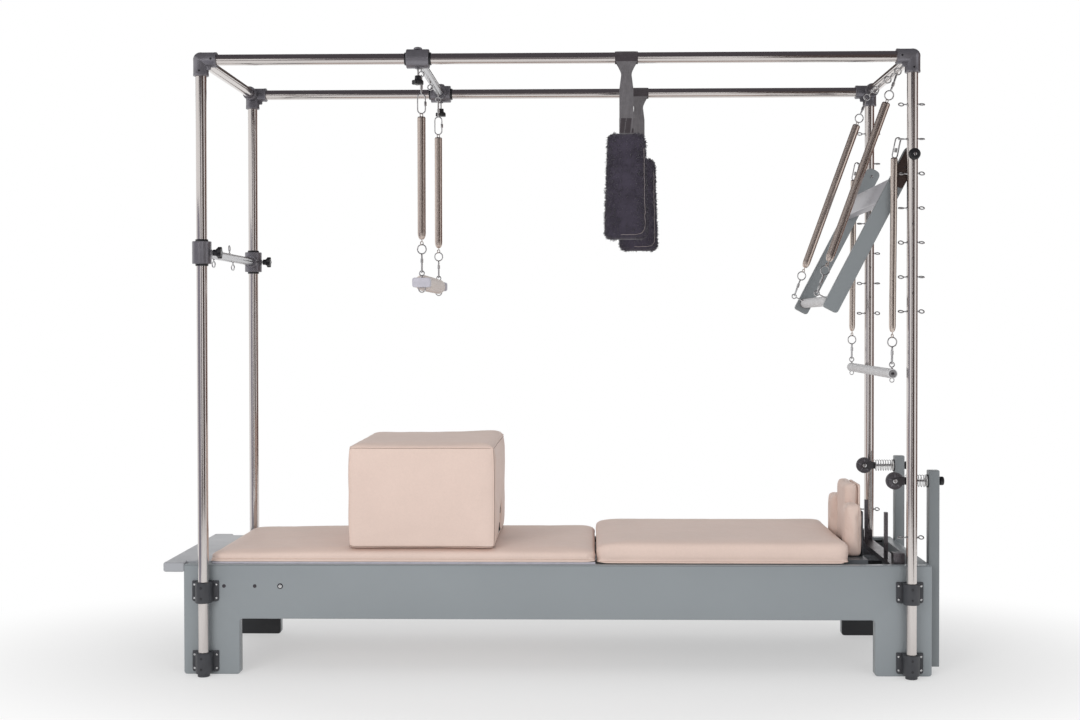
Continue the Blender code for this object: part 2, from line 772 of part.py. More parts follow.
def cross_eye(y):
    """The middle of an eye on the head cross tube, and the way its stud points."""
    way = Vector((-math.sin(CROSS_EYE_LEAN), 0, -math.cos(CROSS_EYE_LEAN)))
    return Vector((HEAD_POST, y, TOP_AXIS)) + way * CROSS_EYE_REACH, way


def top_tubes(finish):
    reach = POST_SIDE - TUBE_END
    foot = rod((FOOT_POST, -reach, TOP_AXIS), (FOOT_POST, reach, TOP_AXIS), TUBE)
    finished(foot, "top_tube_foot", finish)
    head = rod((HEAD_POST, -reach, TOP_AXIS), (HEAD_POST, reach, TOP_AXIS), TUBE)
    add = []
    for y in (-SPRING_SPREAD, -INNER_EYE_SPREAD, INNER_EYE_SPREAD, SPRING_SPREAD):
        root = (HEAD_POST, y, TOP_AXIS)
        add += eyebolt(root, cross_eye(y)[1], CROSS_EYE_REACH, (0, 1, 0), CROSS_EYE)
    finished(fused(head, add), "top_tube_head", finish)


def sliding_bar(name, centre, axis, knob_way, eyes, finish, extra=()):
    """A bar between two collars that slide on a pair of tubes, with holes for its knobs."""
    centre, axis, knob_way = Vector(centre), Vector(axis), Vector(knob_way)
    reach = Vector((0, POST_SIDE - COLLAR * 0.7, 0))
    bar = rod(centre - reach, centre + reach, CROSSBAR, 12)
    half, bush = COLLAR_LENGTH / 2, COLLAR_LENGTH / 2 + BUSH_LENGTH
    profile = [
        (0, 0), (0, BUSH), (BUSH_LENGTH, BUSH), (BUSH_LENGTH, COLLAR),
        (bush + half, COLLAR), (bush + half, BUSH), (bush * 2, BUSH), (bush * 2, 0),
    ]
    add, cut = [], []
    for _, side in SIDES:
        hub = centre + Vector((0, side * POST_SIDE, 0))
        add.append(turned(hub - axis * bush, hub + axis * bush, profile))
        inner = centre + Vector((0, side * (POST_SIDE - SOCKET_REACH), 0))
        start = centre + Vector((0, side * (POST_SIDE - COLLAR / 2), 0))
        add.append(rod(start, inner, SOCKET, 14))
        cut.append(bore(hub - axis * bush * 1.1, hub + axis * bush * 1.1, TUBE))
        skin = hub + knob_way * COLLAR
        start, end = skin - knob_way * KNOB_SEAT, skin + knob_way * KNOB_SEAT
        cut.append(bore(start, end, KNOB_SHAFT, sides=8))
    for y, way, distance, eye, turn in eyes:
        through = (math.sin(turn), math.cos(turn), 0)
        add += eyebolt(centre + Vector((0, y, 0)), way, distance, through, eye)
    solid = fused(bar, [*add, *extra], cut)
    return finished(solid, name, finish, centre)


def star_knob(name, skin, way, stand, finish):
    """A lobed knob on a hub, with its shaft screwed into a collar."""
    skin, way = Vector(skin), Vector(way)
    seat = skin - way * (KNOB_SEAT - FIT)
    shaft = rod(seat, skin + way * (stand + FIT), KNOB_SHAFT, 8)
    start = skin + way * stand
    hub = rod(start, start + way * HUB_LENGTH, HUB, 12)
    lobes = []
    for i in range(KNOB_LOBES * 4):
        turn = math.tau * i / (KNOB_LOBES * 4)
        radius = KNOB * (1 - KNOB_WAVE * (1 - math.cos(KNOB_LOBES * turn)))
        lobes.append((radius * math.cos(turn), radius * math.sin(turn)))
    face = start + way * (HUB_LENGTH - FIT)
    star = extruded(lobes, KNOB_DEPTH, along(face, face + way)[0])
    return finished(fused(shaft, [hub, star]), name, finish, skin)


def foot_crossbar(finish, knob_finish):
    eyes = [
        (y, (0, 0, up), FOOT_BAR_EYE_REACH, FOOT_BAR_EYE, turn) for y, up, turn in FOOT_BAR_EYES
    ]
    centre = (FOOT_POST, 0, FOOT_BAR_HEIGHT)
    sliding_bar("foot_crossbar", centre, (0, 0, 1), (1, 0, 0), eyes, finish)
    for label, side in SIDES:
        skin = (FOOT_POST + COLLAR, side * POST_SIDE, FOOT_BAR_HEIGHT)
        star_knob(f"foot_knob_{label}", skin, (1, 0, 0), FOOT_KNOB_STAND, knob_finish)


def trolley(finish, knob_finish):
    eyes = [
        (y, (0, 0, -1), HANGING_EYE_DROP, HANGING_EYE, 0)
        for y in (-SPRING_SPREAD, 0, SPRING_SPREAD)
    ]
    centre = (TROLLEY_AT, 0, TOP_AXIS)
    domes = []
    for _, side in SIDES:
        root = Vector((TROLLEY_AT, side * POST_SIDE, TOP_AXIS + TUBE * 1.3))
        height = COLLAR - TUBE * 1.3
        profile = [
            (0, 0), (0, TROLLEY_DOME), (height + TROLLEY_DOME_HEIGHT * 0.5, TROLLEY_DOME),
            (height + TROLLEY_DOME_HEIGHT * 0.9, TROLLEY_DOME * 0.6),
            (height + TROLLEY_DOME_HEIGHT, 0),
        ]
        domes.append(turned(root, root + Vector((0, 0, 1)), profile, 10))
    sliding_bar("trolley", centre, (1, 0, 0), (0, 0, -1), eyes, finish, domes)
    for label, side in SIDES:
        skin = (TROLLEY_AT, side * POST_SIDE, TOP_AXIS - COLLAR)
        star_knob(f"trolley_knob_{label}", skin, (0, 0, -1), TROLLEY_KNOB_STAND, knob_finish)


def spring_set(name, start, end, coil, top, bottom, finish, pivot):
    """A hanging spring: links at each end, and a close-wound body that tapers to its hooks.

    top and bottom list the links from the outside in, as (length, width, sideways). Where there
    is a ring next to the body, a hook's length of bare wire lies between them.
    """
    start, end = Vector(start), Vector(end)
    ahead = (end - start).normalized()
    links = []
    at = start
    for length, width, sideways in top:
        links.append(oval_link(at, at + ahead * length, width, sideways))
        at = at + ahead * length
    below = end
    for length, width, sideways in bottom:
        links.append(oval_link(below, below - ahead * length, width, sideways))
        below = below - ahead * length
    at, below = at - ahead * WIRE, below + ahead * WIRE
    length = (below - at).length
    upper, lower = (HOOK if top else WIRE), length - HOOK
    profile = [
        (0, 0), (0, WIRE), (upper, WIRE), (upper + COIL_SHOULDER, coil),
        (lower - COIL_TAPER, coil), (lower - COIL_TAPER * 0.35, coil * 0.72), (lower, WIRE),
        (length, WIRE), (length, 0),
    ]
    body = turned(at, below, profile, 10)
    return finished(fused(body, links), name, finish, pivot)


def nested(eye_centre, eye, ahead):
    """Where a link's end lies when it pulls on an eye of this radius."""
    return Vector(eye_centre) + Vector(ahead) * (eye * math.cos(math.pi / 8) - 2 * WIRE - FIT)


def trapeze(spring_finish, block_finish, pad_finish):
    flat, turned_in = (1, 0, 0), (0, 1, 0)
    down = Vector((0, 0, -1))
    swing = nested((TROLLEY_AT, 0, TOP_AXIS - HANGING_EYE_DROP), HANGING_EYE, down)
    for label, side in SIDES:
        y = side * SPRING_SPREAD
        upper = (TROLLEY_AT, y, TOP_AXIS - HANGING_EYE_DROP)
        lower = (TROLLEY_AT, y, HANDLE_HEIGHT + HANDLE_EYE_RISE)
        start, end = nested(upper, HANGING_EYE, down), nested(lower, EYE, -down)
        top = [(SNAP, LINK_WIDTH, turned_in), (CARABINER, CARABINER_WIDTH, flat)]
        bottom = [(SNAP, LINK_WIDTH, turned_in), (END_RING, END_RING - 0.002, flat)]
        spring_set(f"trapeze_spring_{label}", start, end, COIL, top, bottom, spring_finish, swing)
    handle(block_finish, pad_finish, swing)


def handle(block_finish, pad_finish, swing):
    """Two end blocks on a core bar, with eyes above and loose rings below, and a padded roll."""
    x, z = TROLLEY_AT, HANDLE_HEIGHT
    reach = HANDLE_BLOCK_INNER + HANDLE_BLOCK_WIDTH / 2
    core = rod((x, -reach, z), (x, reach, z), HANDLE_CORE, 12)
    half = (HANDLE_BLOCK_DEPTH / 2, HANDLE_BLOCK_HEIGHT / 2)
    outline = rounded(rectangle((x - half[0], z - half[1]), (x + half[0], z + half[1])), 0.008)
    add = []
    for _, side in SIDES:
        place = facing_y(side * HANDLE_BLOCK_INNER, side)
        add.append(extruded(outline, HANDLE_BLOCK_WIDTH, place))
        add += eyebolt((x, side * SPRING_SPREAD, z + FIT), (0, 0, 1), HANDLE_EYE_RISE - FIT, (0, 1, 0))
        ring_middle = (x, side * SPRING_SPREAD, z - half[1] - HANDLE_RING + WIRE / 3)
        add.append(round_ring(ring_middle, HANDLE_RING, (0, 1, 0)))
    finished(fused(core, add), "trapeze_handle", block_finish, swing)
    end, edge = HANDLE_BLOCK_INNER - FIT, HANDLE_ROLL_EDGE
    hole = clear_of(HANDLE_CORE, 16)
    profile = [
        (0, hole), (0, HANDLE_ROLL - edge), (edge, HANDLE_ROLL), (2 * end - edge, HANDLE_ROLL),
        (2 * end, HANDLE_ROLL - edge), (2 * end, hole),
    ]
    roll = turned((x, -end, z), (x, end, z), profile, 16, bore=True)
    finished(roll, "trapeze_pad", pad_finish, swing)


def push_place(y):
    """Axes of the push-through bar: X down its arms, Y away from the foot end, Z across."""
    along_arm = (-math.sin(PUSH_ANGLE), 0, -math.cos(PUSH_ANGLE))
    outward = (math.cos(PUSH_ANGLE), 0, -math.sin(PUSH_ANGLE))
    columns = [along_arm, outward, (0, 1, 0), (HEAD_POST, y, PIVOT_HEIGHT)]
    rows = [[column[i] for column in columns] for i in range(3)]
    return Matrix(rows + [[0, 0, 0, 1]])


def push_bar(frame_finish, grip_finish, spring_finish):
    pivot = (HEAD_POST, 0, PIVOT_HEIGHT)
    outer = POST_SIDE - TUBE - RUN_FIT
    inner = outer - PUSH_ARM_THICKNESS
    half = PUSH_ARM_WIDTH / 2
    corners = rectangle((-PUSH_ARM_HEAD, -half), (PUSH_ARM, half))
    radii = [PUSH_ARM_HEAD * 0.8, PUSH_ARM_CORNER, PUSH_ARM_CORNER, PUSH_ARM_HEAD * 0.8]
    outline = rounded(corners, radii, 4)
    beam = box(
        (PUSH_BEAM_AT, -half + FIT, -inner - FIT),
        (PUSH_BEAM_AT + PUSH_BEAM_WIDTH, -half + PUSH_BEAM_THICKNESS, inner + FIT), push_place(0),
    )
    add = []
    for _, side in SIDES:
        place = push_place(side * inner) @ Matrix.Diagonal((1, 1, side, 1))
        add.append(extruded(outline, PUSH_ARM_THICKNESS, place))
        add += pivot_fittings(side, outer)
    finished(fused(beam, add), "push_bar_frame", frame_finish, pivot)
    grip = rod((0, -inner + FIT, 0), (0, inner - FIT, 0), GRIP)
    studs = []
    for _, side in SIDES:
        root = (0, side * SPRING_SPREAD, 0)
        way = push_place(0).to_3x3() @ Vector((0, -1, 0))
        studs += eyebolt(root, way, GRIP_EYE_REACH, (0, 1, 0))
    solid = fused(grip, studs)
    solid.data.transform(Matrix.Translation(push_place(0) @ Vector((GRIP_AT, 0, 0))))
    finished(solid, "push_bar_grip", grip_finish, pivot)
    push_springs(spring_finish)


def pivot_fittings(side, outer):
    """The hinge plate on an arm, the pin through the post and the knob outside it."""
    low = (-HINGE_PLATE_WIDTH / 2, -HINGE_PLATE_WIDTH / 2)
    high = (HINGE_PLATE_LENGTH - HINGE_PLATE_WIDTH / 2, HINGE_PLATE_WIDTH / 2)
    outline = rounded(rectangle(low, high), HINGE_PLATE_WIDTH / 4)
    place = push_place(side * (outer - FIT)) @ Matrix.Diagonal((1, 1, side, 1))
    plate = extruded(outline, HINGE_PLATE_THICKNESS + FIT, place)
    x, z = HEAD_POST, PIVOT_HEIGHT
    skin = POST_SIDE + TUBE + FIT
    pin = rod((x, side * (outer - 5 * FIT), z), (x, side * (skin + FIT), z), PIVOT_PIN, 12)
    profile = [
        (0, 0), (0, PIVOT_KNOB), (PIVOT_KNOB_DEPTH * 0.8, PIVOT_KNOB),
        (PIVOT_KNOB_DEPTH * 0.92, PIVOT_KNOB * 0.85), (PIVOT_KNOB_DEPTH, PIVOT_KNOB_CENTRE),
        (PIVOT_KNOB_DEPTH, 0),
    ]
    start = Vector((x, side * skin, z))
    return [plate, pin, turned(start, start + Vector((0, side, 0)), profile, 16)]


def push_springs(finish):
    across = (0, 1, 0)
    for label, side in SIDES:
        y = side * SPRING_SPREAD
        upper = cross_eye(y)[0]
        lower = push_place(0) @ Vector((GRIP_AT, -GRIP_EYE_REACH, 0)) + Vector((0, y, 0))
        ahead = (lower - upper).normalized()
        start, end = nested(upper, CROSS_EYE, ahead), nested(lower, EYE, -ahead)
        flat = ahead.cross(Vector(across))
        top = [(SNAP, LINK_WIDTH, across), (END_RING, END_RING - 0.002, flat)]
        bottom = [(SNAP, LINK_WIDTH, across), (END_RING, END_RING - 0.002, flat)]
        name = f"push_spring_{label}"
        spring_set(name, start, end, COIL, top, bottom, finish, upper)


def roll_down(spring_finish, bar_finish):
    """A bar on two springs that hang from the head posts' eyes."""
    hang_z = POST_EYE_TOP - ROLL_HANG_EYE * POST_EYE_PITCH
    hang_x = HEAD_POST - POST_EYE_REACH - EYE
    pivot = (hang_x, 0, hang_z - WIRE + FIT)
    x = HEAD_POST - ROLL_BAR_OFFSET
    for label, side in SIDES:
        y = side * POST_SIDE
        start = Vector((hang_x, y, hang_z + 2 * WIRE + FIT))
        knee = Vector((HEAD_POST - ROLL_SNAP_FOOT[0], y, ROLL_SNAP_FOOT[1]))
        eye = Vector((x, y, ROLL_BAR_HEIGHT + ROLL_BAR_EYE_RISE))
        way = (eye - knee).normalized()
        end = nested(eye, EYE, -way)
        snap = oval_link(start, knee, ROLL_SNAP_WIDTH, (1, 0, 0))
        bottom = [(ROLL_LINK, LINK_WIDTH, (0, 1, 0)), (END_RING, END_RING - 0.002, (1, 0, 0))]
        name = f"roll_spring_{label}"
        spring = spring_set(name, knee, end, ROLL_COIL, [], bottom, spring_finish, (0, 0, 0))
        finished(fused(spring, [snap]), name, spring_finish, pivot)
    roll_bar(x, bar_finish, pivot)


def roll_bar(x, finish, pivot):
    z = ROLL_BAR_HEIGHT
    length, end = 2 * (ROLL_BAR_REACH + ROLL_BAR_END), ROLL_BAR_END
    disc = ROLL_BAR * 0.88
    profile = [
        (0, 0), (0, disc), (end, disc), (end, ROLL_BAR), (length - end, ROLL_BAR),
        (length - end, disc), (length, disc), (length, 0),
    ]
    start = Vector((x, -length / 2, z))
    bar = turned(start, start + Vector((0, 1, 0)), profile, 14)
    add = []
    for _, side in SIDES:
        root = (x, side * POST_SIDE, z)
        add += eyebolt(root, (0, 0, 1), ROLL_BAR_EYE_RISE, (0, 1, 0))
        add.append(round_ring((x, side * POST_SIDE, z - ROLL_BAR - EYE * 0.6), EYE * 0.7, (0, 1, 0)))
    finished(fused(bar, add), "roll_bar", finish, pivot)


def fleece_loop(name, x, side, finish):
    """A strap wrapped round a top rail, gathered below it, with a fleece pad on its end."""
    y = side * POST_SIDE
    half = LOOP_WRAP / 2
    radius = TUBE + FIT + LOOP_WRAP_THICKNESS
    wrap = rod((x - half, y, TOP_AXIS), (x + half, y, TOP_AXIS), radius)
    strap_half = (STRAP_WIDTH / 2, STRAP_THICKNESS / 2)
    gather = frustum(
        (GATHER_WIDTH / 2, STRAP_THICKNESS), (half * 0.97, radius * 0.72),
        GATHER_BOTTOM, TOP_AXIS - radius * 0.6, (x, y),
    )
    strap = frustum(
        strap_half, (GATHER_WIDTH / 2 - FIT, STRAP_THICKNESS - FIT),
        GATHER_BOTTOM - STRAP_WIDTH, GATHER_BOTTOM + FIT, (x, y),
    )
    lower = frustum(
        strap_half, strap_half, FLEECE_TOP - FLEECE_THICKNESS / 2,
        GATHER_BOTTOM - STRAP_WIDTH + FIT, (x, y),
    )
    pad_half = FLEECE_WIDTH / 2
    pad = pillow(
        (x - pad_half, FLEECE_BOTTOM, 0), (x + pad_half, FLEECE_TOP, FLEECE_THICKNESS),
        FLEECE_THICKNESS * 0.6, facing_y(y - FLEECE_THICKNESS / 2),
    )
    hole = bore((x - half * 1.1, y, TOP_AXIS), (x + half * 1.1, y, TOP_AXIS), TUBE)
    pivot = (x, y, TOP_AXIS)
    return finished(fused(wrap, [gather, strap, lower, pad], [hole]), name, finish, pivot)


def riser(name, side, finish):
    """An upright at the head end, with a bumper on the face that its pulley turns against."""
    start = BED_HEAD + FIT
    outline = rounded(
        rectangle((start, RISER_BOTTOM), (start + RISER_DEPTH, RISER_TOP)),
        [RISER_CORNER / 2] * 2 + [RISER_CORNER] * 2,
    )
    y = side * RISER_SPREAD
    body = extruded(outline, RISER_WIDTH, facing_y(y - RISER_WIDTH / 2))
    washer = rod(
        (start - WASHER_THICKNESS, y, PULLEY_HEIGHT), (start + FIT, y, PULLEY_HEIGHT), WASHER
    )
    ends = ((start - PULLEY_REACH, y, PULLEY_HEIGHT), (start + PULLEY_REACH, y, PULLEY_HEIGHT))
    return finished(fused(body, [washer], [bore(*ends, SWIVEL_SHAFT, sides=12)]), name, finish)


def pulley_fork(name, side, finish):
    """Two cheeks on a neck, with an axle, a swivel shaft and a knob beyond the riser."""
    x, y, z = BED_HEAD + FIT - PULLEY_REACH, side * RISER_SPREAD, PULLEY_HEIGHT
    gap = PULLEY_WIDTH / 2 + FIT * 2
    neck = x + NECK_REACH
    corners = [
        (x - CHEEK_ROUND, z - CHEEK_ROUND), (x + CHEEK_ROUND, z - CHEEK_ROUND),
        (neck - NECK / 2, z - NECK), (neck, z - NECK), (neck, z + NECK),
        (neck - NECK / 2, z + NECK), (x + CHEEK_ROUND, z + CHEEK_ROUND),
        (x - CHEEK_ROUND, z + CHEEK_ROUND),
    ]
    radii = [CHEEK_ROUND * 0.95, 0, 0, 0, 0, 0, 0, CHEEK_ROUND * 0.95]
    outline = rounded(corners, radii)
    body = box(
        (neck - NECK_WALL, y - gap - FIT, z - NECK + FIT), (neck + FIT, y + gap + FIT, z + NECK - FIT)
    )
    add = [extruded(outline, CHEEK, facing_y(y + gap)), extruded(outline, CHEEK, facing_y(y - gap, -1))]
    add.append(rod((x, y - gap - CHEEK * 2, z), (x, y + gap + CHEEK * 2, z), AXLE, 10))
    skin = BED_HEAD + 2 * FIT + RISER_DEPTH
    add.append(rod((neck - FIT, y, z), (skin + FIT, y, z), SWIVEL_SHAFT, 10))
    depth = SWIVEL_KNOB_REACH - FIT
    profile = [
        (0, 0), (0, SWIVEL_KNOB * 0.6), (depth * 0.4, SWIVEL_KNOB * 0.6),
        (depth * 0.4, SWIVEL_KNOB), (depth, SWIVEL_KNOB * 0.9), (depth, 0),
    ]
    add.append(turned((skin, y, z), (skin + 1, y, z), profile, 12))
    return finished(fused(body, add), name, finish, (x, y, z))


def pulley_wheel(name, side, finish):
    x, y, z = BED_HEAD + FIT - PULLEY_REACH, side * RISER_SPREAD, PULLEY_HEIGHT
    hole = clear_of(AXLE, 18)
    width = PULLEY_WIDTH
    profile = [
        (0, hole), (0, PULLEY), (width * 0.15, PULLEY), (width * 0.4, PULLEY - PULLEY_GROOVE),
        (width * 0.6, PULLEY - PULLEY_GROOVE), (width * 0.85, PULLEY), (width, PULLEY),
        (width, hole),
    ]
    start = Vector((x, y - width / 2, z))
    wheel = turned(start, start + Vector((0, 1, 0)), profile, 18, bore=True)
    return finished(wheel, name, finish, (x, y, z))


def pulley_spring(name, side, finish):
    """An open helix round the swivel shaft, from the fork's neck to the bumper."""
    y, z = side * RISER_SPREAD, PULLEY_HEIGHT
    thick = PULLEY_COIL_WIRE
    start = BED_HEAD + FIT - PULLEY_REACH + NECK_REACH + 2 * FIT + thick
    end = BED_HEAD + FIT - WASHER_THICKNESS - FIT - thick
    count = PULLEY_COIL_TURNS * PULLEY_COIL_POINTS
    points = []
    for i in range(count + 1):
        turn = math.tau * i / PULLEY_COIL_POINTS
        along_axis = start + (end - start) * i / count
        points.append(
            Vector((along_axis, y + PULLEY_COIL * math.cos(turn), z + PULLEY_COIL * math.sin(turn)))
        )
    apart = [
        (points[i] - points[j]).length
        for i in range(len(points)) for j in range(i + 5, len(points))
    ]
    print(f"{name}: least gap between curls {(min(apart) - 2 * thick) * 1000:.2f} mm")
    return finished(wire(points, thick, resolution=1), name, finish)


def peg_rail(finish):
    """A flat rail on the tracks at the head end, with two upright strap pegs."""
    start = BED_HEAD - PEG_RAIL_AT
    end, width = start + PEG_RAIL_DEPTH, INSIDE - 2 * FIT
    rail = box((start, -width, PEG_RAIL_BOTTOM), (end, width, RAIL_TOP))
    add = []
    middle = start + PEG_SIDE * 0.65
    for _, side in SIDES:
        y = side * PEG_SPREAD
        low = (middle - PEG_SIDE / 2, y - PEG_SIDE / 2, RAIL_TOP - FIT)
        add.append(box(low, (middle + PEG_SIDE / 2, y + PEG_SIDE / 2, PEG_TOP)))
        edges = sorted((side * width, side * (width - PEG_BLOCK_WIDTH)))
        inset = (PEG_RAIL_DEPTH - PEG_BLOCK_WIDTH) / 2
        low = (start + inset * 2, edges[0], RAIL_TOP - FIT)
        add.append(box(low, (end - FIT, edges[1], RAIL_TOP + PEG_BLOCK_HEIGHT)))
    finished(fused(rail, add), "peg_rail", finish, smooth=False)


def carriage_base(finish):
    """A board with side rails, axle stubs, sockets for the rests and lugs for the headrest."""
    foot, head, side = CARRIAGE_FOOT_END, CARRIAGE_HEAD_END, CARRIAGE_SIDE
    under = CARRIAGE_TOP - CARRIAGE_BOARD
    board = box((foot, -side, under), (head, side, CARRIAGE_TOP))
    add, cut = [], []
    for _, sign in SIDES:
        edges = sorted((sign * side, sign * (side - CARRIAGE_SIDE_WALL)))
        low = (foot, edges[0], under - CARRIAGE_SIDE_DROP)
        add.append(box(low, (head, edges[1], under + FIT)))
        for x in WHEEL_PLACES:
            start, end = sign * (side - FIT), sign * (side + RUN_FIT * 2 + WHEEL_WIDTH + RUN_FIT)
            add.append(rod((x, start, WHEEL_HEIGHT), (x, end, WHEEL_HEIGHT), WHEEL_AXLE, 10))
        for y in rest_pins(sign):
            top = CARRIAGE_TOP + FIT
            low = (REST_MIDDLE, y, CARRIAGE_TOP - REST_PIN_LENGTH)
            cut.append(bore(low, (REST_MIDDLE, y, top + FIT), REST_PIN, sides=8))
        add.append(hinge_lug(sign))
    pin = HINGE_SPREAD / 2 + HINGE_LUG / 2
    add.append(rod((HINGE_AT, -pin, HINGE_HEIGHT), (HINGE_AT, pin, HINGE_HEIGHT), HINGE_PIN, 12))
    finished(fused(board, add, cut), "carriage_base", finish, smooth=False)


def hinge_lug(sign):
    inner = HINGE_SPREAD / 2
    edges = sorted((sign * inner, sign * (inner + HINGE_LUG)))
    low = (HINGE_AT - HINGE_KNUCKLE, edges[0], CARRIAGE_TOP - FIT)
    high = (CARRIAGE_HEAD_END - FIT, edges[1], HINGE_HEIGHT + HINGE_KNUCKLE)
    return box(low, high)


def carriage_wheels(finish):
    for end, x in zip(("foot", "head"), WHEEL_PLACES):
        for label, side in SIDES:
            start = side * (CARRIAGE_SIDE + RUN_FIT * 2)
            stop = start + side * WHEEL_WIDTH
            hole = clear_of(WHEEL_AXLE, 16)
            profile = [(0, hole), (0, WHEEL), (WHEEL_WIDTH, WHEEL), (WHEEL_WIDTH, hole)]
            hub = (x, start, WHEEL_HEIGHT)
            wheel = turned(hub, (x, stop, WHEEL_HEIGHT), profile, 16, bore=True)
            finished(wheel, f"wheel_{end}_{label}", finish, (x, (start + stop) / 2, WHEEL_HEIGHT))


def carriage_springs(finish):
    """Unhooked springs that lie below the carriage board, on the bar that carries them."""
    reach = CARRIAGE_SIDE - CARRIAGE_SIDE_WALL - FIT
    start = CARRIAGE_FOOT_END + CARRIAGE_SPRING_START
    end = start + CARRIAGE_SPRING_LENGTH
    z = CARRIAGE_TOP - CARRIAGE_BOARD - CARRIAGE_COIL - FIT
    bar = rod((end, -reach, z), (end, reach, z), SPRING_ROD, 8)
    coils = []
    for y in CARRIAGE_SPRINGS:
        coils.append(rod((start, y, z), (end - SPRING_ROD / 2, y, z), CARRIAGE_COIL, 10))
    finished(fused(bar, coils), "carriage_springs", finish)


def mats(finish):
    half = MAT_WIDTH / 2
    low = (CARRIAGE_FOOT_END, -half, CARRIAGE_TOP + FIT)
    high = (CARRIAGE_FOOT_END + CARRIAGE_MAT_LENGTH, half, CARRIAGE_MAT_TOP)
    solid = cushion(low, high, MAT_CORNER, MAT_CROWN, MAT_CROWN_RUN, drawn=MAT_DRAWN)
    finished(solid, "carriage_mat", finish)
    low = (FILLER_FOOT_END, -half, CARRIAGE_TOP + FIT)
    high = (FILLER_HEAD_END, half, FILLER_MAT_TOP)
    solid = cushion(low, high, MAT_CORNER, MAT_CROWN, MAT_CROWN_RUN, drawn=MAT_DRAWN)
    finished(solid, "filler_mat", finish)


def sitting_box(finish):
    """An upholstered box with an arched hand hole in its head end."""
    x, y = BOX_AT
    bottom = FILLER_MAT_TOP + FIT
    low = (x - BOX_LENGTH / 2, y - BOX_WIDTH / 2, bottom)
    high = (x + BOX_LENGTH / 2, y + BOX_WIDTH / 2, bottom + BOX_HEIGHT)
    body = cushion(low, high, BOX_CORNER, BOX_CROWN, BOX_CORNER * 2, drawn=0.003, steps=3)
    half = BOX_SLOT_WIDTH / 2
    slot_low = (y - half, bottom + BOX_SLOT_BOTTOM)
    slot_high = (y + half, bottom + BOX_SLOT_BOTTOM + BOX_SLOT_HEIGHT)
    outline = rounded(
        rectangle(slot_low, slot_high), [half * 0.15] * 2 + [half * 0.95] * 2, 4
    )
    slot = extruded(outline, BOX_SLOT_DEPTH * 2, facing_x(high[0] - BOX_SLOT_DEPTH))
    finished(fused(body, cut=[slot]), "box", finish)


def rest_pins(side):
    """Distances across the carriage of the two pins below a shoulder rest."""
    middle = REST_INNER + REST_WIDTH / 2
    return [side * (middle - REST_PLATE_WIDTH / 3), side * (middle + REST_PLATE_WIDTH / 3)]


def shoulder_rest(name, side, finish):
    """An upright pad on a back plate, with two pins that drop into the carriage."""
    middle = side * (REST_INNER + REST_WIDTH / 2)
    back = REST_BACK
    bottom = CARRIAGE_TOP + FIT
    half = REST_WIDTH / 2
    place = Matrix(((0, 0, -1, back), (1, 0, 0, middle), (0, 1, 0, 0), (0, 0, 0, 1)))
    pad = cushion(
        (-half, bottom, 0), (half, REST_TOP, REST_THICKNESS), REST_CORNER, REST_THICKNESS * 0.3,
        REST_CORNER * 0.8, place, drawn=0.003,
    )
    plate_half = REST_PLATE_WIDTH / 2
    low = (back - FIT, middle - plate_half, bottom)
    add = [box(low, (back + REST_PLATE, middle + plate_half, REST_PLATE_TOP))]
    for y in rest_pins(side):
        foot = (REST_MIDDLE, y, CARRIAGE_TOP - REST_PIN_LENGTH + FIT)
        add.append(rod(foot, (REST_MIDDLE, y, bottom + REST_PIN), REST_PIN, 8))
    return finished(fused(pad, add), name, finish, (REST_MIDDLE, middle, CARRIAGE_TOP))


def headrest(finish):
    """A pad on a board that folds down about a pin at the carriage's head end."""
    back = HINGE_AT + HEADREST_BACK
    face = back - HEADREST_BOARD
    half = HEADREST_WIDTH / 2
    place = Matrix(((0, 0, -1, face), (1, 0, 0, 0), (0, 1, 0, 0), (0, 0, 0, 1)))
    pad = cushion(
        (-half, HEADREST_BOTTOM, 0), (half, HEADREST_TOP, HEADREST_THICKNESS), REST_CORNER,
        HEADREST_THICKNESS * 0.3, REST_CORNER, place, drawn=0.003,
    )
    inner = HINGE_SPREAD / 2 - RUN_FIT / 2
    edge = REST_CORNER / 4
    low = (face - FIT, -half + edge, HEADREST_BOTTOM)
    board = box(low, (back, half - edge, HEADREST_TOP - edge))
    tongue = box((face, -inner, HINGE_HEIGHT), (back, inner, HEADREST_BOTTOM + edge))
    axis = ((HINGE_AT, -inner, HINGE_HEIGHT), (HINGE_AT, inner, HINGE_HEIGHT))
    knuckle = rod(*axis, HINGE_KNUCKLE, 12)
    ends = ((HINGE_AT, -half, HINGE_HEIGHT), (HINGE_AT, half, HINGE_HEIGHT))
    hole = bore(*ends, HINGE_PIN, sides=12)
    solid = fused(pad, [board, tongue, knuckle], [hole])
    finished(solid, "headrest", finish, (HINGE_AT, 0, HINGE_HEIGHT))


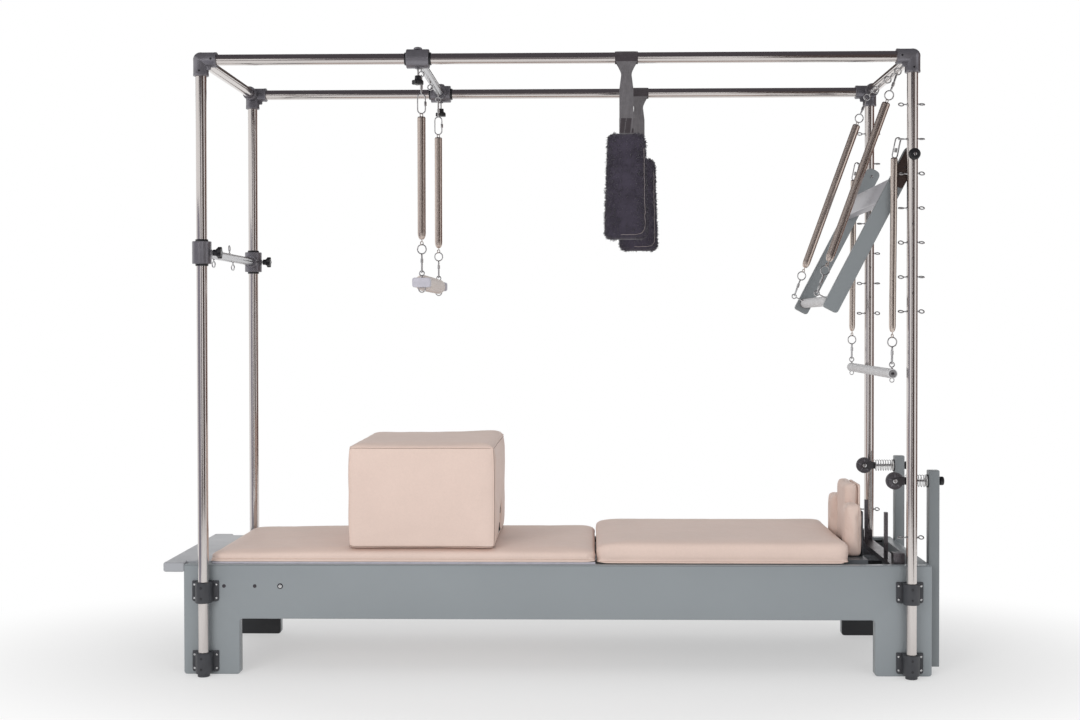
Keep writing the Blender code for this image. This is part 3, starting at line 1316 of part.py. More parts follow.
def build():
    clear_scene()
    paint = material("grey_paint", srgb(135, 142, 146), 0.55)
    push_paint = material("push_bar_paint", srgb(125, 130, 133), 0.5)
    steel = material("stainless_steel", srgb(200, 198, 195), 0.25, 1.0)
    black = material("black_fitting", srgb(62, 63, 67), 0.5)
    dark = material("dark_steel", srgb(85, 80, 84), 0.4, 0.8)
    vinyl = material("beige_vinyl", srgb(222, 196, 182), 0.6)
    light = material("light_paint", srgb(205, 205, 207), 0.4)
    fleece = material("dark_fleece", srgb(45, 47, 56), 0.95)
    wheels = material("wheel_plastic", srgb(40, 40, 42), 0.5)

    for label, side in SIDES:
        side_panel(f"side_panel_{label}", side, paint)
        track(f"track_{label}", side, steel)
        post(f"post_foot_{label}", FOOT_POST, side, False, steel)
        post(f"post_head_{label}", HEAD_POST, side, True, steel)
        corner_fitting(f"corner_foot_{label}", FOOT_POST, side, black)
        corner_fitting(f"corner_head_{label}", HEAD_POST, side, black)
        riser(f"riser_{label}", side, paint)
        pulley_fork(f"pulley_fork_{label}", side, dark)
        pulley_wheel(f"pulley_wheel_{label}", side, wheels)
        pulley_spring(f"pulley_spring_{label}", side, steel)
        shoulder_rest(f"shoulder_rest_{label}", side, vinyl)
        fleece_loop(f"loop_{label}", LOOP_AT[label], side, fleece)
    end_boards(paint)
    standing_platform(paint)
    spring_bar(steel)
    top_rails(steel)
    top_tubes(steel)
    peg_rail(dark)
    foot_crossbar(black, black)
    trolley(black, black)
    trapeze(steel, paint, vinyl)
    push_bar(push_paint, light, steel)
    roll_down(steel, light)
    carriage_base(paint)
    carriage_wheels(wheels)
    carriage_springs(steel)
    mats(vinyl)
    sitting_box(vinyl)
    headrest(vinyl)


build()
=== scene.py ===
"""A combo pilates reformer, dressed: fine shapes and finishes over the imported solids.

Metres, +Z up. X runs from the foot end (-) to the head end (+), and -Y is the near side.
"""

import math
import bmesh
import bpy
import numpy as np
from mathutils import Matrix, Vector, noise
from mathutils.bvhtree import BVHTree


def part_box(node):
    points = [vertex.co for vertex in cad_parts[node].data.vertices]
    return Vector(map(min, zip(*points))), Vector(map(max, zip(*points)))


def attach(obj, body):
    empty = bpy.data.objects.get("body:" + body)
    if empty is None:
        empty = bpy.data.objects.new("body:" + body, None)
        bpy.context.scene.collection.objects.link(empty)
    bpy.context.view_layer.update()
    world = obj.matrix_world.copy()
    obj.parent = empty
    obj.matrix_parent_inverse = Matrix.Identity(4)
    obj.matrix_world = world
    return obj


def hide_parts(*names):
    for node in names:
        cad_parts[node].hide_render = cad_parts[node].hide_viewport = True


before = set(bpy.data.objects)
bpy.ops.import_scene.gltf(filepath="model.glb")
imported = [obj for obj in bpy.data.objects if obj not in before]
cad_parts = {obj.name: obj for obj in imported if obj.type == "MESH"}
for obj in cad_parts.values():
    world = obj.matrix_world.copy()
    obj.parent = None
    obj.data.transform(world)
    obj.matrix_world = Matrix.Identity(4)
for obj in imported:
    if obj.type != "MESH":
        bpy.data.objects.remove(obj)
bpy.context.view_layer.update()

# Camera
CAMERA_AT = (0.1347, -5.3309, 1.2444)
CAMERA_HEADING = 1.198
CAMERA_PITCH = -0.754
CAMERA_ROLL = 0.081
CAMERA_LENS = 46.92
CAMERA_SHIFT = (-0.0199, -0.0154)

# Places taken from the solids
SIDES = (("near", -1), ("far", 1))


def middle(node):
    low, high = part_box(node)
    return (low + high) / 2


TUBE = (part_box("top_tube_foot")[1].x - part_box("top_tube_foot")[0].x) / 2
FOOT_POST = middle("top_tube_foot").x
HEAD_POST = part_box("top_tube_head")[1].x - TUBE
POST_AT = {"foot": FOOT_POST, "head": HEAD_POST}
POST_SIDE = middle("top_rail_far").y
TOP_AXIS = middle("top_rail_far").z
BED_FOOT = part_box("foot_board")[0].x
BED_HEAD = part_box("head_board")[1].x
RAIL_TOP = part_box("head_board")[1].z
RAIL_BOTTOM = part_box("head_board")[0].z
BED_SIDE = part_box("standing_platform")[1].y
BOARD = 0.040
GAP = 0.0003
WELD = 0.00001  # points closer than this are one

# Bed frame
LEG_WIDTH = 0.200
LEG_CORNER = 0.012
EDGE = 0.0035
PLATFORM_CORNER = 0.014
PLATFORM_EDGE = 0.0075
RAIL_BOLTS = ((0.1442, 0.0065), (0.2542, 0.0065), (0.3452, 0.010))
RAIL_BOLT_HEIGHT = 0.315
RUNNER_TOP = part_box("side_panel_near")[1].z

# Tower
FOOT_CAP = 0.0215
BRACKET_WIDTH = 0.095
BRACKET_HEIGHT = 0.075
BRACKET_PLATE = 0.005
SADDLE = 0.0285
BRACKET_HEIGHTS = (0.048, 0.298)
SLEEVE = 0.027
SLEEVE_LENGTH = 0.057
WIRE = 0.0023
EYE = 0.0085
POST_EYE_REACH = 0.0395
POST_EYE_BACK = 0.033
POST_EYE_TOP = 2.012
POST_EYE_PITCH = 0.1205
POST_EYE_LOW = 0.497
HANGING_EYE = 0.0095
HANGING_EYE_DROP = 0.036
CROSS_EYE = 0.012
CROSS_EYE_REACH = 0.046
CROSS_EYE_LEAN = math.radians(40)
CROSS_EYE_WAY = Vector((-math.sin(CROSS_EYE_LEAN), 0, -math.cos(CROSS_EYE_LEAN)))
SPRING_SPREAD = 0.280
INNER_EYE_SPREAD = 0.110
COLLAR = 0.0335
COLLAR_LENGTH = 0.079
BUSH = 0.0225
BUSH_LENGTH = 0.0085
SOCKET = 0.0255
SOCKET_REACH = 0.055
CROSSBAR = 0.016
FOOT_BAR_HEIGHT = middle("foot_crossbar").z
TROLLEY_AT = middle("trolley").x
FOOT_BAR_EYES = ((0.0, 1, 90), (-0.225, -1, 45), (0.050, -1, 45))
FOOT_BAR_EYE = 0.0105
FOOT_BAR_EYE_REACH = 0.035
KNOB = 0.0215
KNOB_DEPTH = 0.016
HUB = 0.0123
HUB_LENGTH = 0.015
KNOB_SHAFT = 0.003

# Risers and pulleys
RISER_SPREAD = 0.280
RISER_DEPTH = 0.038
RISER_WIDTH = 0.040
PULLEY_AT = middle("pulley_wheel_near").x
PULLEY_HEIGHT = middle("pulley_wheel_near").z
PULLEY = 0.031
PULLEY_WIDTH = 0.016
CHEEK = 0.003
NECK_REACH = 0.039
WASHER = 0.022
WASHER_THICKNESS = 0.006
PULLEY_COIL = 0.0215
PULLEY_COIL_WIRE = 0.0012
PULLEY_COIL_TURNS = 7

# Screws: the radius and the height of their heads
PLATE_SCREW = (0.0048, 0.0026)
SADDLE_SCREW = (0.0042, 0.0012)
CORNER_SCREW = (0.0038, 0.0012)
COLLAR_SCREW = (0.0044, 0.0014)
PUSH_PLATE_SCREW = (0.0040, 0.0012)
GRIP_END_SCREW = (0.0050, 0.0022)
RISER_SCREW = (0.0062, 0.0018)
REST_SCREW = (0.0055, 0.0022)
HINGE_SCREW = (0.0050, 0.0016)
RISER_SCREWS = (0.060, 0.150, 0.330)  # heights

# Push-through bar
PIVOT_HEIGHT = 1.836
PIVOT_HOLES = 5
PUSH_ANGLE = math.radians(27.6)
PUSH_ARM = 0.610
PUSH_ARM_HEAD = 0.030
PUSH_ARM_WIDTH = 0.057
PUSH_ARM_THICKNESS = 0.026
PUSH_ARM_CORNER = 0.012
PUSH_ARM_TOP_CORNER = 0.024
PUSH_OUTER = POST_SIDE - TUBE - 0.0025
PUSH_BEAM_AT = 0.103
PUSH_BEAM_WIDTH = 0.096
PUSH_BEAM_THICKNESS = 0.025
GRIP_AT = 0.572
GRIP = 0.0185
GRIP_EYE_REACH = 0.058
PIVOT_KNOB = 0.020
PIVOT_KNOB_DEPTH = 0.024

# Springs
COIL = 0.0150
ROLL_COIL = 0.0120
COIL_WIRE = 0.0016
THREAD_DEPTH = 0.00022  # of the grooves between a close-wound spring's turns
LINK_WIDTH = 0.016
SNAP = 0.067
CARABINER = 0.070
CARABINER_WIDTH = 0.028
END_RING = 0.033
END_RING_WIDTH = END_RING - 0.002
ROLL_LINK = 0.060
ROLL_SNAP_WIDTH = 0.018
ROLL_SNAP_FOOT = (0.0633, 1.826)
ROLL_BAR = 0.017
ROLL_BAR_HEIGHT = 1.072
ROLL_BAR_EYE_RISE = 0.031
ROLL_BAR_OFFSET = 0.070
CARRIAGE_SPRINGS = (-0.180, -0.060, 0.060, 0.180)

# Trapeze handle
HANDLE_HEIGHT = middle("trapeze_pad").z
HANDLE_BLOCK_DEPTH = 0.066
HANDLE_BLOCK_HEIGHT = 0.035
HANDLE_BLOCK_WIDTH = 0.032
HANDLE_BLOCK_INNER = 0.270
HANDLE_CORE = 0.009
HANDLE_EYE_RISE = 0.033
HANDLE_RING = 0.012

# Fleece loops
LOOP_AT = {"near": 0.260, "far": 0.328}
LOOP_WRAP = 0.080
GATHER_BOTTOM = 2.122
FLEECE_TOP = 1.915
FLEECE_BOTTOM = 1.543
FLEECE_WIDTH = 0.152
FLEECE_THICKNESS = 0.056
TUFTS = 7000
STRAP_GATHERED = 0.036
STRAP_APART = 0.0034
STRAP_THICKNESS = 0.0028
CUFF_TOP = 1.968
CUFF_BOTTOM = 1.917
CUFF_WIDTH = 0.050
CUFF_THICKNESS = 0.012
HEM_TOP = 1.860
HEM_BEND = 1.600
HEM_BOTTOM = 1.558

# Covers
SKIN_INSET = 0.004
PAD_CAP = 0.005
CLOTH = {
    "quality": 4, "mass": 0.3, "tension_stiffness": 12, "compression_stiffness": 12,
    "shear_stiffness": 6, "bending_stiffness": 1.0,
}
CLOTH_FRAMES = 20
MATS = {  # low and high: how far the cover's corners lie from the solid's
    "filler_mat": {
        "body": "mat", "crease": 0.0010,
        "crown": {"lift": 0.0, "power": 1.25, "drop": 0.011, "run": 0.75},
        "low": (-0.009, 0, 0), "high": (0.0013, 0, 0),
    },
    "carriage_mat": {
        "body": "carriage", "crease": 0.0016,
        "crown": {"lift": 0.009, "power": 1.7, "drop": 0.010, "run": 0.14},
        "low": (-0.0013, 0, -0.0055), "high": (0, 0, 0),
    },
}
REST_BOTTOM = 0.4001
REST_PLATE = ((-0.030, 0.3988), (0.030, 0.5620))
HEADREST_RISE = 0.0232
HEADREST_BOARD = 0.008
HINGE_REACH = 0.0795
BOX_HOLE_SHADE = ((0.007, -0.110, 0.465), (0.060, 0.010, 0.570))  # painted shade inside a hand hole on the box cover: (from the head end, y, z), lowest and highest

X, Y, Z = Vector((1, 0, 0)), Vector((0, 1, 0)), Vector((0, 0, 1))


def unit(vector):
    vector = np.asarray(vector, float)
    return vector / np.maximum(np.linalg.norm(vector, axis=-1, keepdims=True), 1e-12)


def crosswise(way):
    """A level direction across a way, or one across it where it is upright."""
    side = np.cross(way, (0, 0, 1))
    return unit(side if np.linalg.norm(side) >= 0.1 else np.cross(way, (0, 1, 0)))


def frames(path, closed=False):
    """The direction of a path at each point, and two directions across it that twist as little as can be."""
    path = np.asarray(path, float)
    if closed:
        ahead = unit(np.roll(path, -1, 0) - np.roll(path, 1, 0))
    else:
        ahead = unit(np.gradient(path, axis=0))
    across = np.zeros_like(path)
    across[0] = crosswise(ahead[0])
    for i in range(1, len(path)):
        across[i] = unit(across[i - 1] - ahead[i] * (across[i - 1] @ ahead[i]))
    up = np.cross(ahead, across)
    if closed:
        last = unit(across[-1] - ahead[0] * (across[-1] @ ahead[0]))
        off = math.atan2(last @ up[0], last @ across[0])
        turn = -off * np.arange(len(path)) / len(path)
        across, up = (
            across * np.cos(turn)[:, None] + up * np.sin(turn)[:, None],
            up * np.cos(turn)[:, None] - across * np.sin(turn)[:, None],
        )
    return ahead, across, up


def measured(path):
    """The distance along a path at each of its points."""
    return np.concatenate([[0], np.cumsum(np.linalg.norm(np.diff(path, axis=0), axis=1))])


def grid(rows, columns, closed=False, wrapped=True):
    """The faces of a grid of points, row by row. It may close on itself along its rows and round them."""
    last_row, last_column = rows - (not closed), columns - (not wrapped)
    i, j = np.meshgrid(np.arange(last_row), np.arange(last_column), indexing="ij")
    after, beside = (i + 1) % rows, (j + 1) % columns
    i, after = i * columns, after * columns
    quads = np.stack([i + j, i + beside, after + beside, after + j], -1)
    return [tuple(quad) for quad in quads.reshape(-1, 4).tolist()]


def ends(rows, columns):
    """The faces that close the first and the last row of a grid."""
    return [tuple(range(columns))[::-1], tuple(range((rows - 1) * columns, rows * columns))]


def unrolled(along, around, girth):
    """A grid's faces laid flat, with the distances along it and the width of one face round it."""
    i, j = np.meshgrid(np.arange(len(along) - 1), np.arange(around), indexing="ij")
    u, low, high = j * girth, along[i], along[i + 1]
    return np.stack([u, low, u + girth, low, u + girth, high, u, high], -1).reshape(-1, 4, 2).tolist()


def arc(radius, start, sweep, steps):
    """Points on part of a circle, as pairs."""
    turns = [start + sweep * i / steps for i in range(steps + 1)]
    return [(radius * math.cos(turn), radius * math.sin(turn)) for turn in turns]


def tube(path, radius, sides=20, closed=False, across=None):
    """A round tube along a path. The radius may be one for each point."""
    path = np.asarray([tuple(point) for point in path], float)
    ahead, side, up = frames(path, closed)
    if across is not None:
        side = unit(np.asarray(across, float) - ahead * np.sum(across * ahead, 1)[:, None])
        up = np.cross(ahead, side)
    radius = np.broadcast_to(np.asarray(radius, float), (len(path),))
    turns = np.arange(sides) * math.tau / sides
    ring = side[:, None] * np.cos(turns)[None, :, None] + up[:, None] * np.sin(turns)[None, :, None]
    points = (path[:, None] + ring * radius[:, None, None]).reshape(-1, 3)
    along = measured(np.concatenate([path, path[:1]]) if closed else path)
    faces = grid(len(path), sides, closed)
    uvs = unrolled(along, sides, math.tau * radius.mean() / sides)
    if not closed:
        faces += ends(len(path), sides)
        uvs += [[(0, 0)] * sides] * 2
    return points, faces, uvs


def softened(outline, radius, steps=3, closed=False):
    """An outline with its corners turned into short arcs. The radius may be one for each corner."""
    outline = [np.asarray(point, float) for point in outline]
    count = len(outline)
    radii = radius if isinstance(radius, (list, tuple)) else [radius] * count
    result = [] if closed else [outline[0]]
    for i in range(count) if closed else range(1, count - 1):
        here = outline[i]
        back = outline[i - 1] - here
        ahead = outline[(i + 1) % count] - here
        reach = min(radii[i], np.linalg.norm(back) * 0.49, np.linalg.norm(ahead) * 0.49)
        if reach <= 1e-6:
            result.append(here)
            continue
        first, last = here + unit(back) * reach, here + unit(ahead) * reach
        for step in range(steps + 1):
            t = step / steps
            result.append((1 - t) ** 2 * first + 2 * t * (1 - t) * here + t * t * last)
    if not closed:
        result.append(outline[-1])
    return result


def spun(start, way, side, distances, radii):
    """Rings of points about a line, with a row of radii for each distance along it."""
    turns = np.arange(radii.shape[1]) * math.tau / radii.shape[1]
    ring = side * np.cos(turns)[:, None] + np.cross(way, side) * np.sin(turns)[:, None]
    return (start + way * distances[:, None, None] + ring * radii[..., None]).reshape(-1, 3)


def lathe(profile, start, way, sides=32, edge=0.0):
    """(distance, radius) pairs spun about a line. Where the ends aren't on the line they are left open."""
    if edge:
        profile = softened(profile, edge)
    start, way = np.asarray(start, float), unit(way)
    profile = np.asarray([tuple(pair) for pair in profile], float)
    radii = np.repeat(profile[:, 1:], sides, 1)
    points = spun(start, way, crosswise(way), profile[:, 0], radii)
    uvs = unrolled(measured(profile), sides, math.tau * profile[:, 1].max() / sides)
    return points, grid(len(profile), sides), uvs


def rectangle(low, high):
    """The corners of a rectangle, anticlockwise."""
    return [(low[0], low[1]), (high[0], low[1]), (high[0], high[1]), (low[0], high[1])]


def rounded(low, high, corner, steps):
    """A rectangle with round corners. Their radius may be one for each, from low anticlockwise."""
    return softened(rectangle(low, high), corner, steps, closed=True)


def slab(outline, depth, place, edge=0.002, steps=3):
    """A flat outline, anticlockwise, made into a board and placed. The edge's radius may vary along it."""
    outline = np.asarray([tuple(point) for point in outline], float)
    edge = np.broadcast_to(np.asarray(edge, float), len(outline))
    keep = np.linalg.norm(outline - np.roll(outline, 1, 0), axis=1) > 1e-6
    outline, edge = outline[keep], edge[keep]
    before, after = unit(outline - np.roll(outline, 1, 0)), unit(np.roll(outline, -1, 0) - outline)
    first = np.stack([before[:, 1], -before[:, 0]], 1)
    last = np.stack([after[:, 1], -after[:, 0]], 1)
    out = (first + last) / np.maximum(1 + np.sum(first * last, 1), 0.3)[:, None]
    levels = []
    for step in range(steps + 1):
        turn = math.pi / 2 * step / steps
        levels.append((edge * (1 - math.sin(turn)), edge * (1 - math.cos(turn))))
    levels += [(inset, depth - rise) for inset, rise in reversed(levels)]
    points = np.concatenate([
        np.column_stack([outline - out * inset[:, None], rise]) for inset, rise in levels
    ])
    faces = ends(len(levels), len(outline)) + grid(len(levels), len(outline))
    flat = points[:, :2].tolist()
    uvs = [[flat[i] for i in face] for face in faces]
    matrix = np.array(place, float)
    return points @ matrix[:3, :3].T + matrix[:3, 3], faces, uvs


def facing_y(y, way=1):
    """Places a flat shape upright along the bed, its thickness running the given way from y."""
    return Matrix(((1, 0, 0, 0), (0, 0, way, y), (0, 1, 0, 0), (0, 0, 0, 1)))


def facing_x(x, way=1):
    """Places a flat shape upright across the bed, its thickness running the given way from x."""
    return Matrix(((0, 0, way, x), (1, 0, 0, 0), (0, 1, 0, 0), (0, 0, 0, 1)))


def towards(start, end):
    start, end = Vector(start), Vector(end)
    return Matrix.Translation(start) @ (end - start).to_track_quat("Z", "Y").to_matrix().to_4x4()


def block(low, high, edge=0.002):
    """A box with rounded edges."""
    low, high = Vector(low), Vector(high)
    outline = rounded((low.x, low.y), (high.x, high.y), edge, 3)
    return slab(outline, high.z - low.z, Matrix.Translation((0, 0, low.z)), edge)


def rod(start, end, radius, sides=24, edge=0.0008):
    """A round bar with closed, slightly rounded ends."""
    start, end = Vector(start), Vector(end)
    length = (end - start).length
    edge = min(edge, radius * 0.4, length * 0.4)
    profile = [
        (0, 0), (0, radius - edge), (edge * 0.3, radius - edge * 0.3), (edge, radius),
        (length - edge, radius), (length - edge * 0.3, radius - edge * 0.3),
        (length, radius - edge), (length, 0),
    ]
    return lathe(profile, start, end - start, sides)


def bow(centre, first, second, radius, start, sweep, steps):
    """Points on an arc about a centre, in the plane of two directions."""
    return [centre + first * px + second * py for px, py in arc(radius, start, sweep, steps)]


def ring(centre, radius, normal, thickness=WIRE, steps=28, sides=10):
    """A closed ring of wire."""
    normal = Vector(normal).normalized()
    first = normal.orthogonal().normalized()
    second = normal.cross(first)
    path = bow(Vector(centre), first, second, radius, 0, math.tau, steps)[:-1]
    return tube(path, thickness, sides, closed=True)


def stadium(start, end, width, sideways, steps=10):
    """The middle line of an oval link between two points."""
    start, end = Vector(start), Vector(end)
    ahead = (end - start).normalized()
    sideways = Vector(sideways)
    sideways = (sideways - ahead * sideways.dot(ahead)).normalized() * width / 2
    points = []
    for centre, sense in ((start + ahead * width / 2, -1), (end - ahead * width / 2, 1)):
        for step in range(steps + 1):
            angle = math.pi * step / steps
            across = sideways * math.cos(angle) * -sense
            points.append(centre + across + ahead * sense * width / 2 * math.sin(angle))
    return points


def bent_eye(root, way, reach, normal, eye, thickness=WIRE):
    """A wire that stands up from its root and is bent to an eye, whose tip closes on its stud."""
    root, way, normal = Vector(root), Vector(way).normalized(), Vector(normal)
    centre, side = root + way * reach, normal.cross(way)
    path = [root, root + way * (reach - eye * 1.5)]
    path += bow(centre, way, side, eye, math.tau * 0.52, math.tau * 0.95, 22)
    return tube(path, thickness, 10)


def helix(start, end, radii, wire, pitch, per_turn=14, sides=6, phase=0.0):
    """A wound coil from start to end. radii gives (share of the length, radius) pairs."""
    start, end = Vector(start), Vector(end)
    way = (end - start).normalized()
    side = way.orthogonal().normalized()
    up = way.cross(side)
    length = (end - start).length
    count = int(length / pitch * per_turn)
    shares = np.linspace(0, 1, count + 1)
    radius = np.interp(shares, *zip(*radii))
    turn = phase + shares * length / pitch * math.tau
    side, up, way = np.array(side), np.array(up), np.array(way)
    across = side[None] * np.cos(turn)[:, None] + up[None] * np.sin(turn)[:, None]
    path = np.array(start)[None] + way[None] * (shares * length)[:, None] + across * radius[:, None]
    return tube(path, wire, sides, across=across)


def thread(start, end, radii, wire, around=36):
    """The outside of a close-wound coil: a shallow thread on a body that tapers as radii says."""
    start, end = np.array(start, float), np.array(end, float)
    length = np.linalg.norm(end - start)
    way = (end - start) / length
    side = unit(np.cross(way, (0.3, 0.8, 0.5)))
    windings = length / (wire * 2)
    shares = np.linspace(0, 1, int(windings * 5) + 1)
    turns = np.arange(around) * math.tau / around
    groove = THREAD_DEPTH * (0.5 - 0.5 * np.cos(math.tau * windings * shares[:, None] - turns[None]))
    radius = np.interp(shares, *zip(*radii))[:, None] + wire - groove
    faces = grid(len(shares), around) + ends(len(shares), around)
    along = np.arange(len(shares)) * length / len(shares)
    uvs = unrolled(along, around, math.tau * radius.max() / around) + [[(0, 0)] * around] * 2
    return spun(start, way, side, shares * length, radius), faces, uvs


def nut(piece, start, way, height=0.0024, radius=0.0042):
    """A six-sided nut with its far corners broken."""
    profile = [(0, radius), (height, radius), (height + 0.0006, radius - 0.0008), (height + 0.0006, 0)]
    piece.add(lathe(profile, start, way, 6), WIRE_STEEL)


def eyebolt(piece, middle_point, way, rooted, reach, through, eye, seat, **nut_sizes):
    """A bent eye on a nut. Its root, its eye's middle and its nut lie so far from the bar's middle."""
    middle_point, way = Vector(middle_point), Vector(way)
    piece.add(bent_eye(middle_point + way * rooted, way, reach - rooted, through, eye), WIRE_STEEL)
    nut(piece, middle_point + way * seat, way, **nut_sizes)


def screw(centre, way, radius, height=0.0016):
    """A domed screw head with a socket in its middle."""
    socket = radius * 0.42
    profile = [
        (0, radius), (height * 0.45, radius), (height * 0.85, radius * 0.82), (height, radius * 0.6),
        (height, socket), (height * 0.25, socket * 0.9), (height * 0.25, 0),
    ]
    return lathe(profile, centre, way, 16)


def linked(name, data):
    """A new object in the scene."""
    obj = bpy.data.objects.new(name, data)
    bpy.context.scene.collection.objects.link(obj)
    return obj


class Piece:
    """Shapes gathered into one object, each with its own finish."""

    def __init__(self, name):
        self.name = name
        self.points, self.faces, self.uvs = [], [], []
        self.finishes, self.which = [], []
        self.count = 0

    def add(self, shape, finish):
        points, faces, uvs = shape
        if signed_volume(points, faces) < 0:
            faces = [face[::-1] for face in faces]
            uvs = [list(face)[::-1] for face in uvs]
        if finish not in self.finishes:
            self.finishes.append(finish)
        slot = self.finishes.index(finish)
        self.points.append(np.asarray(points, float))
        self.faces += [tuple(i + self.count for i in face) for face in faces]
        self.uvs += uvs
        self.which += [slot] * len(faces)
        self.count += len(points)
        return self

    def made(self, body, replaces=(), slot=None, smooth=40):
        mesh = bpy.data.meshes.new(self.name)
        mesh.from_pydata(np.concatenate(self.points).tolist(), [], self.faces)
        layer = mesh.uv_layers.new(name="UVMap")
        flat = [value for face in self.uvs for pair in face for value in pair]
        layer.data.foreach_set("uv", flat)
        mesh.polygons.foreach_set("material_index", self.which)
        for finish in self.finishes:
            mesh.materials.append(finish)
        mesh.shade_smooth()
        mesh.set_sharp_from_angle(angle=math.radians(smooth))
        obj = linked(self.name, mesh)
        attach(obj, body)
        if replaces:
            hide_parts(*replaces)
        return obj


def signed_volume(points, faces):
    """Above 0 where the faces of a closed shape point outwards."""
    points = np.asarray(points, float)
    points = points - points.mean(0)
    total = 0.0
    quads = np.array([face for face in faces if len(face) == 4])
    if len(quads):
        a, b, c, d = (points[quads[:, i]] for i in range(4))
        total += np.sum(a * np.cross(b, c)) + np.sum(a * np.cross(c, d))
    for face in faces:
        if len(face) != 4:
            fan = points[list(face)]
            total += np.sum(fan[:1] * np.cross(fan[1:-1], fan[2:]))
    return total


def srgb(red, green, blue):
    """The linear colour of an 8-bit screen colour."""
    return tuple((value / 255) ** 2.2 for value in (red, green, blue)) + (1.0,)


def scaled(colour, share):
    return tuple(value * share for value in colour[:3]) + (1.0,)


class Finish:
    """A node material, with short ways to add what these finishes share."""

    def __init__(self, name, colour, roughness, metallic=0.0, **sockets):
        self.material = bpy.data.materials.new(name)
        self.material.use_nodes = True
        self.tree = self.material.node_tree
        self.surface = self.tree.nodes["Principled BSDF"]
        self.surface.inputs["Base Color"].default_value = colour
        self.surface.inputs["Roughness"].default_value = roughness
        self.surface.inputs["Metallic"].default_value = metallic
        for label, value in sockets.items():
            self.surface.inputs[label.replace("_", " ")].default_value = value
        self.material.diffuse_color = colour
        self.colour, self.roughness = colour, roughness
        self.place = self.tree.nodes.new("ShaderNodeTexCoord").outputs["Object"]
        self.uv = self.place.node.outputs["UV"]
        self.height = None

    def node(self, kind, inputs=None, **settings):
        made = self.tree.nodes.new("ShaderNode" + kind)
        for label, value in settings.items():
            setattr(made, label, value)
        for label, value in (inputs or {}).items():
            self.feed(made.inputs[label], value)
        return made

    def feed(self, socket, value):
        if isinstance(value, bpy.types.NodeSocket):
            self.tree.links.new(value, socket)
        else:
            socket.default_value = value

    def stretched(self, scale, source=None):
        return self.node("Mapping", {"Vector": source or self.place, "Scale": scale}).outputs[0]

    def noise(self, scale, detail=3.0, vector=None, roughness=0.55):
        inputs = {"Vector": vector or self.place, "Scale": scale, "Detail": detail, "Roughness": roughness}
        return self.node("TexNoise", inputs).outputs[0]

    def ramp(self, value, low, high, start=0.0, end=1.0):
        inputs = {0: value, 1: low, 2: high, 3: start, 4: end}
        return self.node("MapRange", inputs).outputs[0]

    def maths(self, kind, first, second):
        return self.node("Math", {0: first, 1: second}, operation=kind).outputs[0]

    def mixed(self, share, first, second, blend="MIX"):
        made = self.node("Mix", data_type="RGBA", blend_type=blend)
        for socket, value in ((made.inputs[0], share), (made.inputs[6], first), (made.inputs[7], second)):
            self.feed(socket, value)
        return made.outputs[2]

    def varied(self, share, scale, vector=None, detail=4.0):
        """Lets the colour drift lighter and darker by a share of itself."""
        drift = self.ramp(self.noise(scale, detail, vector), 0.3, 0.7)
        source = self.surface.inputs["Base Color"]
        if source.links:
            grey = self.ramp(drift, 0, 1, 1 - share, 1 + share)
            mix = self.mixed(1.0, source.links[0].from_socket, grey, "MULTIPLY")
        else:
            mix = self.mixed(drift, scaled(self.colour, 1 - share), scaled(self.colour, 1 + share))
        self.feed(source, mix)
        return self

    def rough(self, share, scale, vector=None):
        value = self.noise(scale, 4.0, vector)
        low, high = self.roughness * (1 - share), min(self.roughness * (1 + share), 1.0)
        self.feed(self.surface.inputs["Roughness"], self.ramp(value, 0.3, 0.7, low, high))
        return self

    def bumped(self, value, distance, strength=1.0):
        """Adds a relief on top of those before it, as high as distance in metres."""
        bump = self.node("Bump", {"Height": value, "Distance": distance, "Strength": strength})
        if self.height is not None:
            self.feed(bump.inputs["Normal"], self.height)
        self.height = bump.outputs[0]
        self.feed(self.surface.inputs["Normal"], self.height)
        return self


def painted(name, colour, roughness=0.42):
    """Sprayed satin paint on wood: a faint orange peel over long, soft grain."""
    made = Finish(name, colour, roughness, Coat_Weight=0.25, Coat_Roughness=0.22)
    grain = made.stretched((3.0, 60.0, 60.0))
    made.varied(0.035, 2.2).rough(0.16, 9.0)
    made.bumped(made.noise(1.0, 5.0, grain), 0.00022, 0.35)
    made.bumped(made.noise(420.0, 2.0), 0.00006, 0.35)
    return made.material


def stainless(name, colour=srgb(196, 194, 192), roughness=0.2):
    """Drawn and polished tube, with fine lines along it."""
    made = Finish(name, colour, roughness, 1.0)
    lines = made.stretched((900.0, 3.0, 1.0), made.uv)
    broad = made.stretched((70.0, 1.2, 1.0), made.uv)
    made.varied(0.04, 1.0, broad).rough(0.12, 1.0, lines)
    made.bumped(made.noise(1.0, 2.0, lines), 0.00001, 0.06)
    return made.material


def plated(name, colour, roughness, drift=0.12):
    """Plated wire, a little uneven."""
    made = Finish(name, colour, roughness, 1.0)
    made.varied(drift, 60.0).rough(0.35, 180.0)
    made.bumped(made.noise(900.0, 2.0), 0.00003, 0.3)
    return made.material


def spring_steel(name, colour, roughness):
    """Drawn spring wire, its colour drifting slowly along the coil."""
    made = Finish(name, colour, roughness, 1.0)
    made.varied(0.04, 9.0).rough(0.10, 14.0)
    made.bumped(made.noise(700.0, 2.0), 0.00001, 0.1)
    return made.material


def coated(name, colour, roughness, grit=0.00012, metallic=0.0):
    """Powder coat or moulded plastic with a fine grit."""
    made = Finish(name, colour, roughness, metallic)
    made.varied(0.08, 35.0).rough(0.15, 60.0)
    made.bumped(made.noise(1500.0, 2.0), grit, 0.4)
    return made.material


